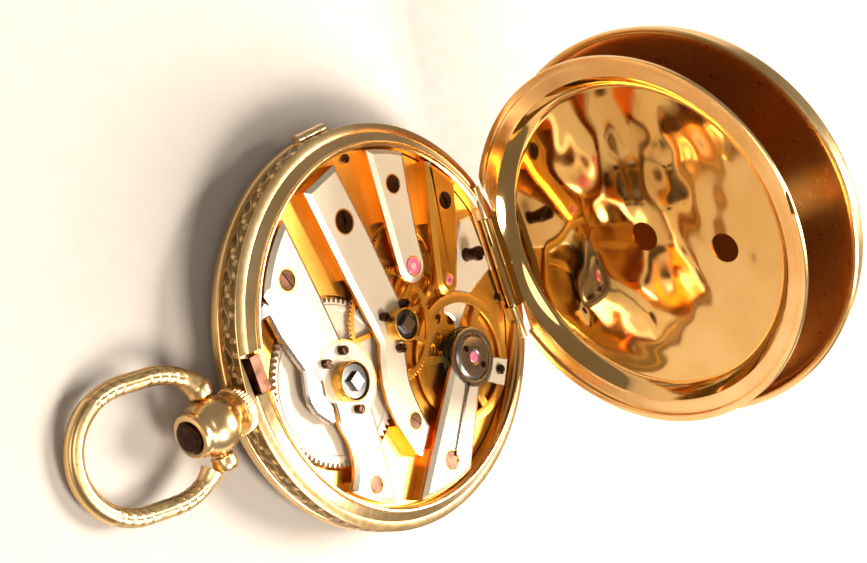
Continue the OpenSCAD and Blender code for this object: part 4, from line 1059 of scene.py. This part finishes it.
@operator("dial", "Dial figures", "Hour figures and minute track under the crystal")
def WATCH_OT_dial(look):
    low, high = 2.38, 2.4
    strokes = {"I": [((0, -1), (0, 1), 0.16)], "V": [((-0.5, 1), (0, -1), 0.18), ((0.5, 1), (0, -1), 0.07)],
               "X": [((-0.5, 1), (0.5, -1), 0.18), ((-0.5, -1), (0.5, 1), 0.07)]}
    width = {"I": 0.5, "V": 1.15, "X": 1.15}
    hours = ["XII", "I", "II", "III", "IIII", "V", "VI", "VII", "VIII", "IX", "X", "XI"]
    shapes = []

    def bar(p, q, half, turn, radius):
        d = (q - p).normalized() * half
        n = Vector((-d.y, d.x))
        pts = []
        for c in (p - n, q - n, q + n, p + n):
            x, y = -c.x, c.y + radius
            pts.append((x * math.cos(turn) - y * math.sin(turn), x * math.sin(turn) + y * math.cos(turn)))
        return prism(pts, low, high)
    tall, hour_r, minute_r = 1.35, 13.2, 16.0
    for i, figure in enumerate(hours):
        turn = math.radians(30 * i)
        x = -sum(width[c] for c in figure) / 2
        for c in figure:
            x += width[c] / 2
            for a, b, w in strokes[c]:
                start, end = Vector((a[0] + x, a[1] * tall)), Vector((b[0] + x, b[1] * tall))
                shapes.append(bar(start, end, w, turn, hour_r))
            x += width[c] / 2
    for i in range(60):
        turn = math.radians(6 * i)
        half = 0.12 if i % 5 == 0 else 0.05
        shapes.append(bar(Vector((0, -0.3)), Vector((0, 0.3)), half, turn, minute_r))
    for r in (15.6, 16.35):
        shapes.append(turned([(r, low), (r + 0.07, low), (r + 0.07, high), (r, high)], segments=160))
    make_piece("dial_figures", *join_shapes(*shapes), ["enamel_black"], "case", sharp=10)


# ---------------------------------------------------------------- finish of the carried-over nodes

KEPT = {
    "gold_case": ("bezel_pin", "back_pin", "bow_screws"),
    "burnt_steel": ("push_piece", "latch_nose", "set_arbor", "barrel_arbor"),
    "enamel_white": ("dial",),
    "blued_steel": ("hour_hand", "minute_hand"),
    "polished_steel": ("ratchet_wheel", "mainspring", "balance_staff"),
    "gilt_brass": ("main_plate", "minute_wheel", "hour_wheel", "centre_wheel", "third_wheel", "fourth_wheel",
                   "escape_wheel"),
    "silvered_brass": ("barrel_drum",),
}


@operator("kept", "Frame finishes", "Finishes on the frame's own parts")
def WATCH_OT_kept(look):
    done = set()
    for key, names in KEPT.items():
        for node in names:
            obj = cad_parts[node]
            obj.data.materials.clear()
            obj.data.materials.append(MATERIALS[key])
            done.add(node)
    for name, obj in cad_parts.items():
        if not obj.hide_render and name not in done:
            raise RuntimeError("no finish for " + name)


@operator("materials", "Materials", "Makes every surface finish")
def WATCH_OT_materials(look):
    make_materials(look)


@operator("stage", "Stage", "Pale floor, soft lights and the camera")
def WATCH_OT_stage(look):
    mesh = bpy.data.meshes.new("floor")
    half = 1.2
    corners = [(-half, -half, 0), (half, -half, 0), (half, half, 0), (-half, half, 0)]
    mesh.from_pydata(corners, [], [[0, 1, 2, 3]])
    mesh.materials.append(MATERIALS["floor"])
    floor = placed("floor", mesh)
    lamps = (("side", (0.26, -0.04, 0.36), (0, 0, 0.005), 0.18, 2.7, (1.0, 0.94, 0.85)),
             ("back", (0.12, 0.44, 0.44), (0, 0, 0.005), 0.34, 9.5, (1.0, 0.93, 0.84)),
             ("fill", (-0.1, -0.42, 0.42), (0, 0, 0.01), 0.36, 1.0, (1.0, 0.95, 0.88)))
    for name, spot, aim, size, power, tint in lamps:
        data = bpy.data.lights.new(name, "AREA")
        data.shape, data.size, data.energy, data.color = "DISK", size, power, tint
        lamp = placed(name, data)
        lamp.location = spot
        lamp.rotation_mode = "QUATERNION"
        lamp.rotation_quaternion = (Vector(aim) - Vector(spot)).to_track_quat("-Z", "Y")
    bpy.context.scene.view_settings.view_transform = "Standard"
    world = bpy.context.scene.world or bpy.data.worlds.new("world")
    bpy.context.scene.world = world
    world.use_nodes = True
    world.node_tree.nodes["Background"].inputs["Color"].default_value = (1.0, 0.92, 0.83, 1)
    world.node_tree.nodes["Background"].inputs["Strength"].default_value = 0.27
    data = bpy.data.cameras.new("camera")
    data.lens = look.focal
    data.sensor_width = 36
    data.clip_start, data.clip_end = 0.01, 10
    camera = placed("camera", data)
    right = Vector((0.31015, 0.61828, 0.72217))
    down = Vector((0.9274, -0.36388, -0.08675))
    ahead = Vector((0.20915, 0.69665, -0.68625))
    turn = Matrix((right, -down, -ahead)).transposed().to_4x4()
    camera.matrix_world = Matrix.Translation(Vector((-49.7, -152.31, 157.68 + FLANGE)) * MM) @ turn
    bpy.context.scene.camera = camera


OPERATORS = (WATCH_OT_materials, WATCH_OT_case, WATCH_OT_band, WATCH_OT_front, WATCH_OT_back,
             WATCH_OT_dust, WATCH_OT_pendant, WATCH_OT_bow, WATCH_OT_bridges, WATCH_OT_click,
             WATCH_OT_screws, WATCH_OT_jewels, WATCH_OT_barrel, WATCH_OT_balance, WATCH_OT_dial,
             WATCH_OT_kept, WATCH_OT_stage)


class WATCH_PT_panel(bpy.types.Panel):
    """Lists the settings and the building steps"""
    bl_label = "Pocket watch"
    bl_idname = "WATCH_PT_panel"
    bl_space_type = "VIEW_3D"
    bl_region_type = "UI"
    bl_category = "Watch"

    def draw(self, context):
        column = self.layout.column()
        for key in WatchLook.__annotations__:
            column.prop(context.scene.watch_look, key)
        for item in OPERATORS:
            column.operator(item.bl_idname)


CLASSES = (WatchLook, *OPERATORS, WATCH_PT_panel)


def register():
    for item in CLASSES:
        bpy.utils.register_class(item)
    bpy.types.Scene.watch_look = bpy.props.PointerProperty(type=WatchLook)


def unregister():
    del bpy.types.Scene.watch_look
    for item in reversed(CLASSES):
        bpy.utils.unregister_class(item)


def main():
    register()
    for item in OPERATORS:
        group, name = item.bl_idname.split(".")
        if getattr(getattr(bpy.ops, group), name)() != {"FINISHED"}:
            raise RuntimeError(item.bl_idname + " did not finish")


if __name__ == "__main__":
    main()
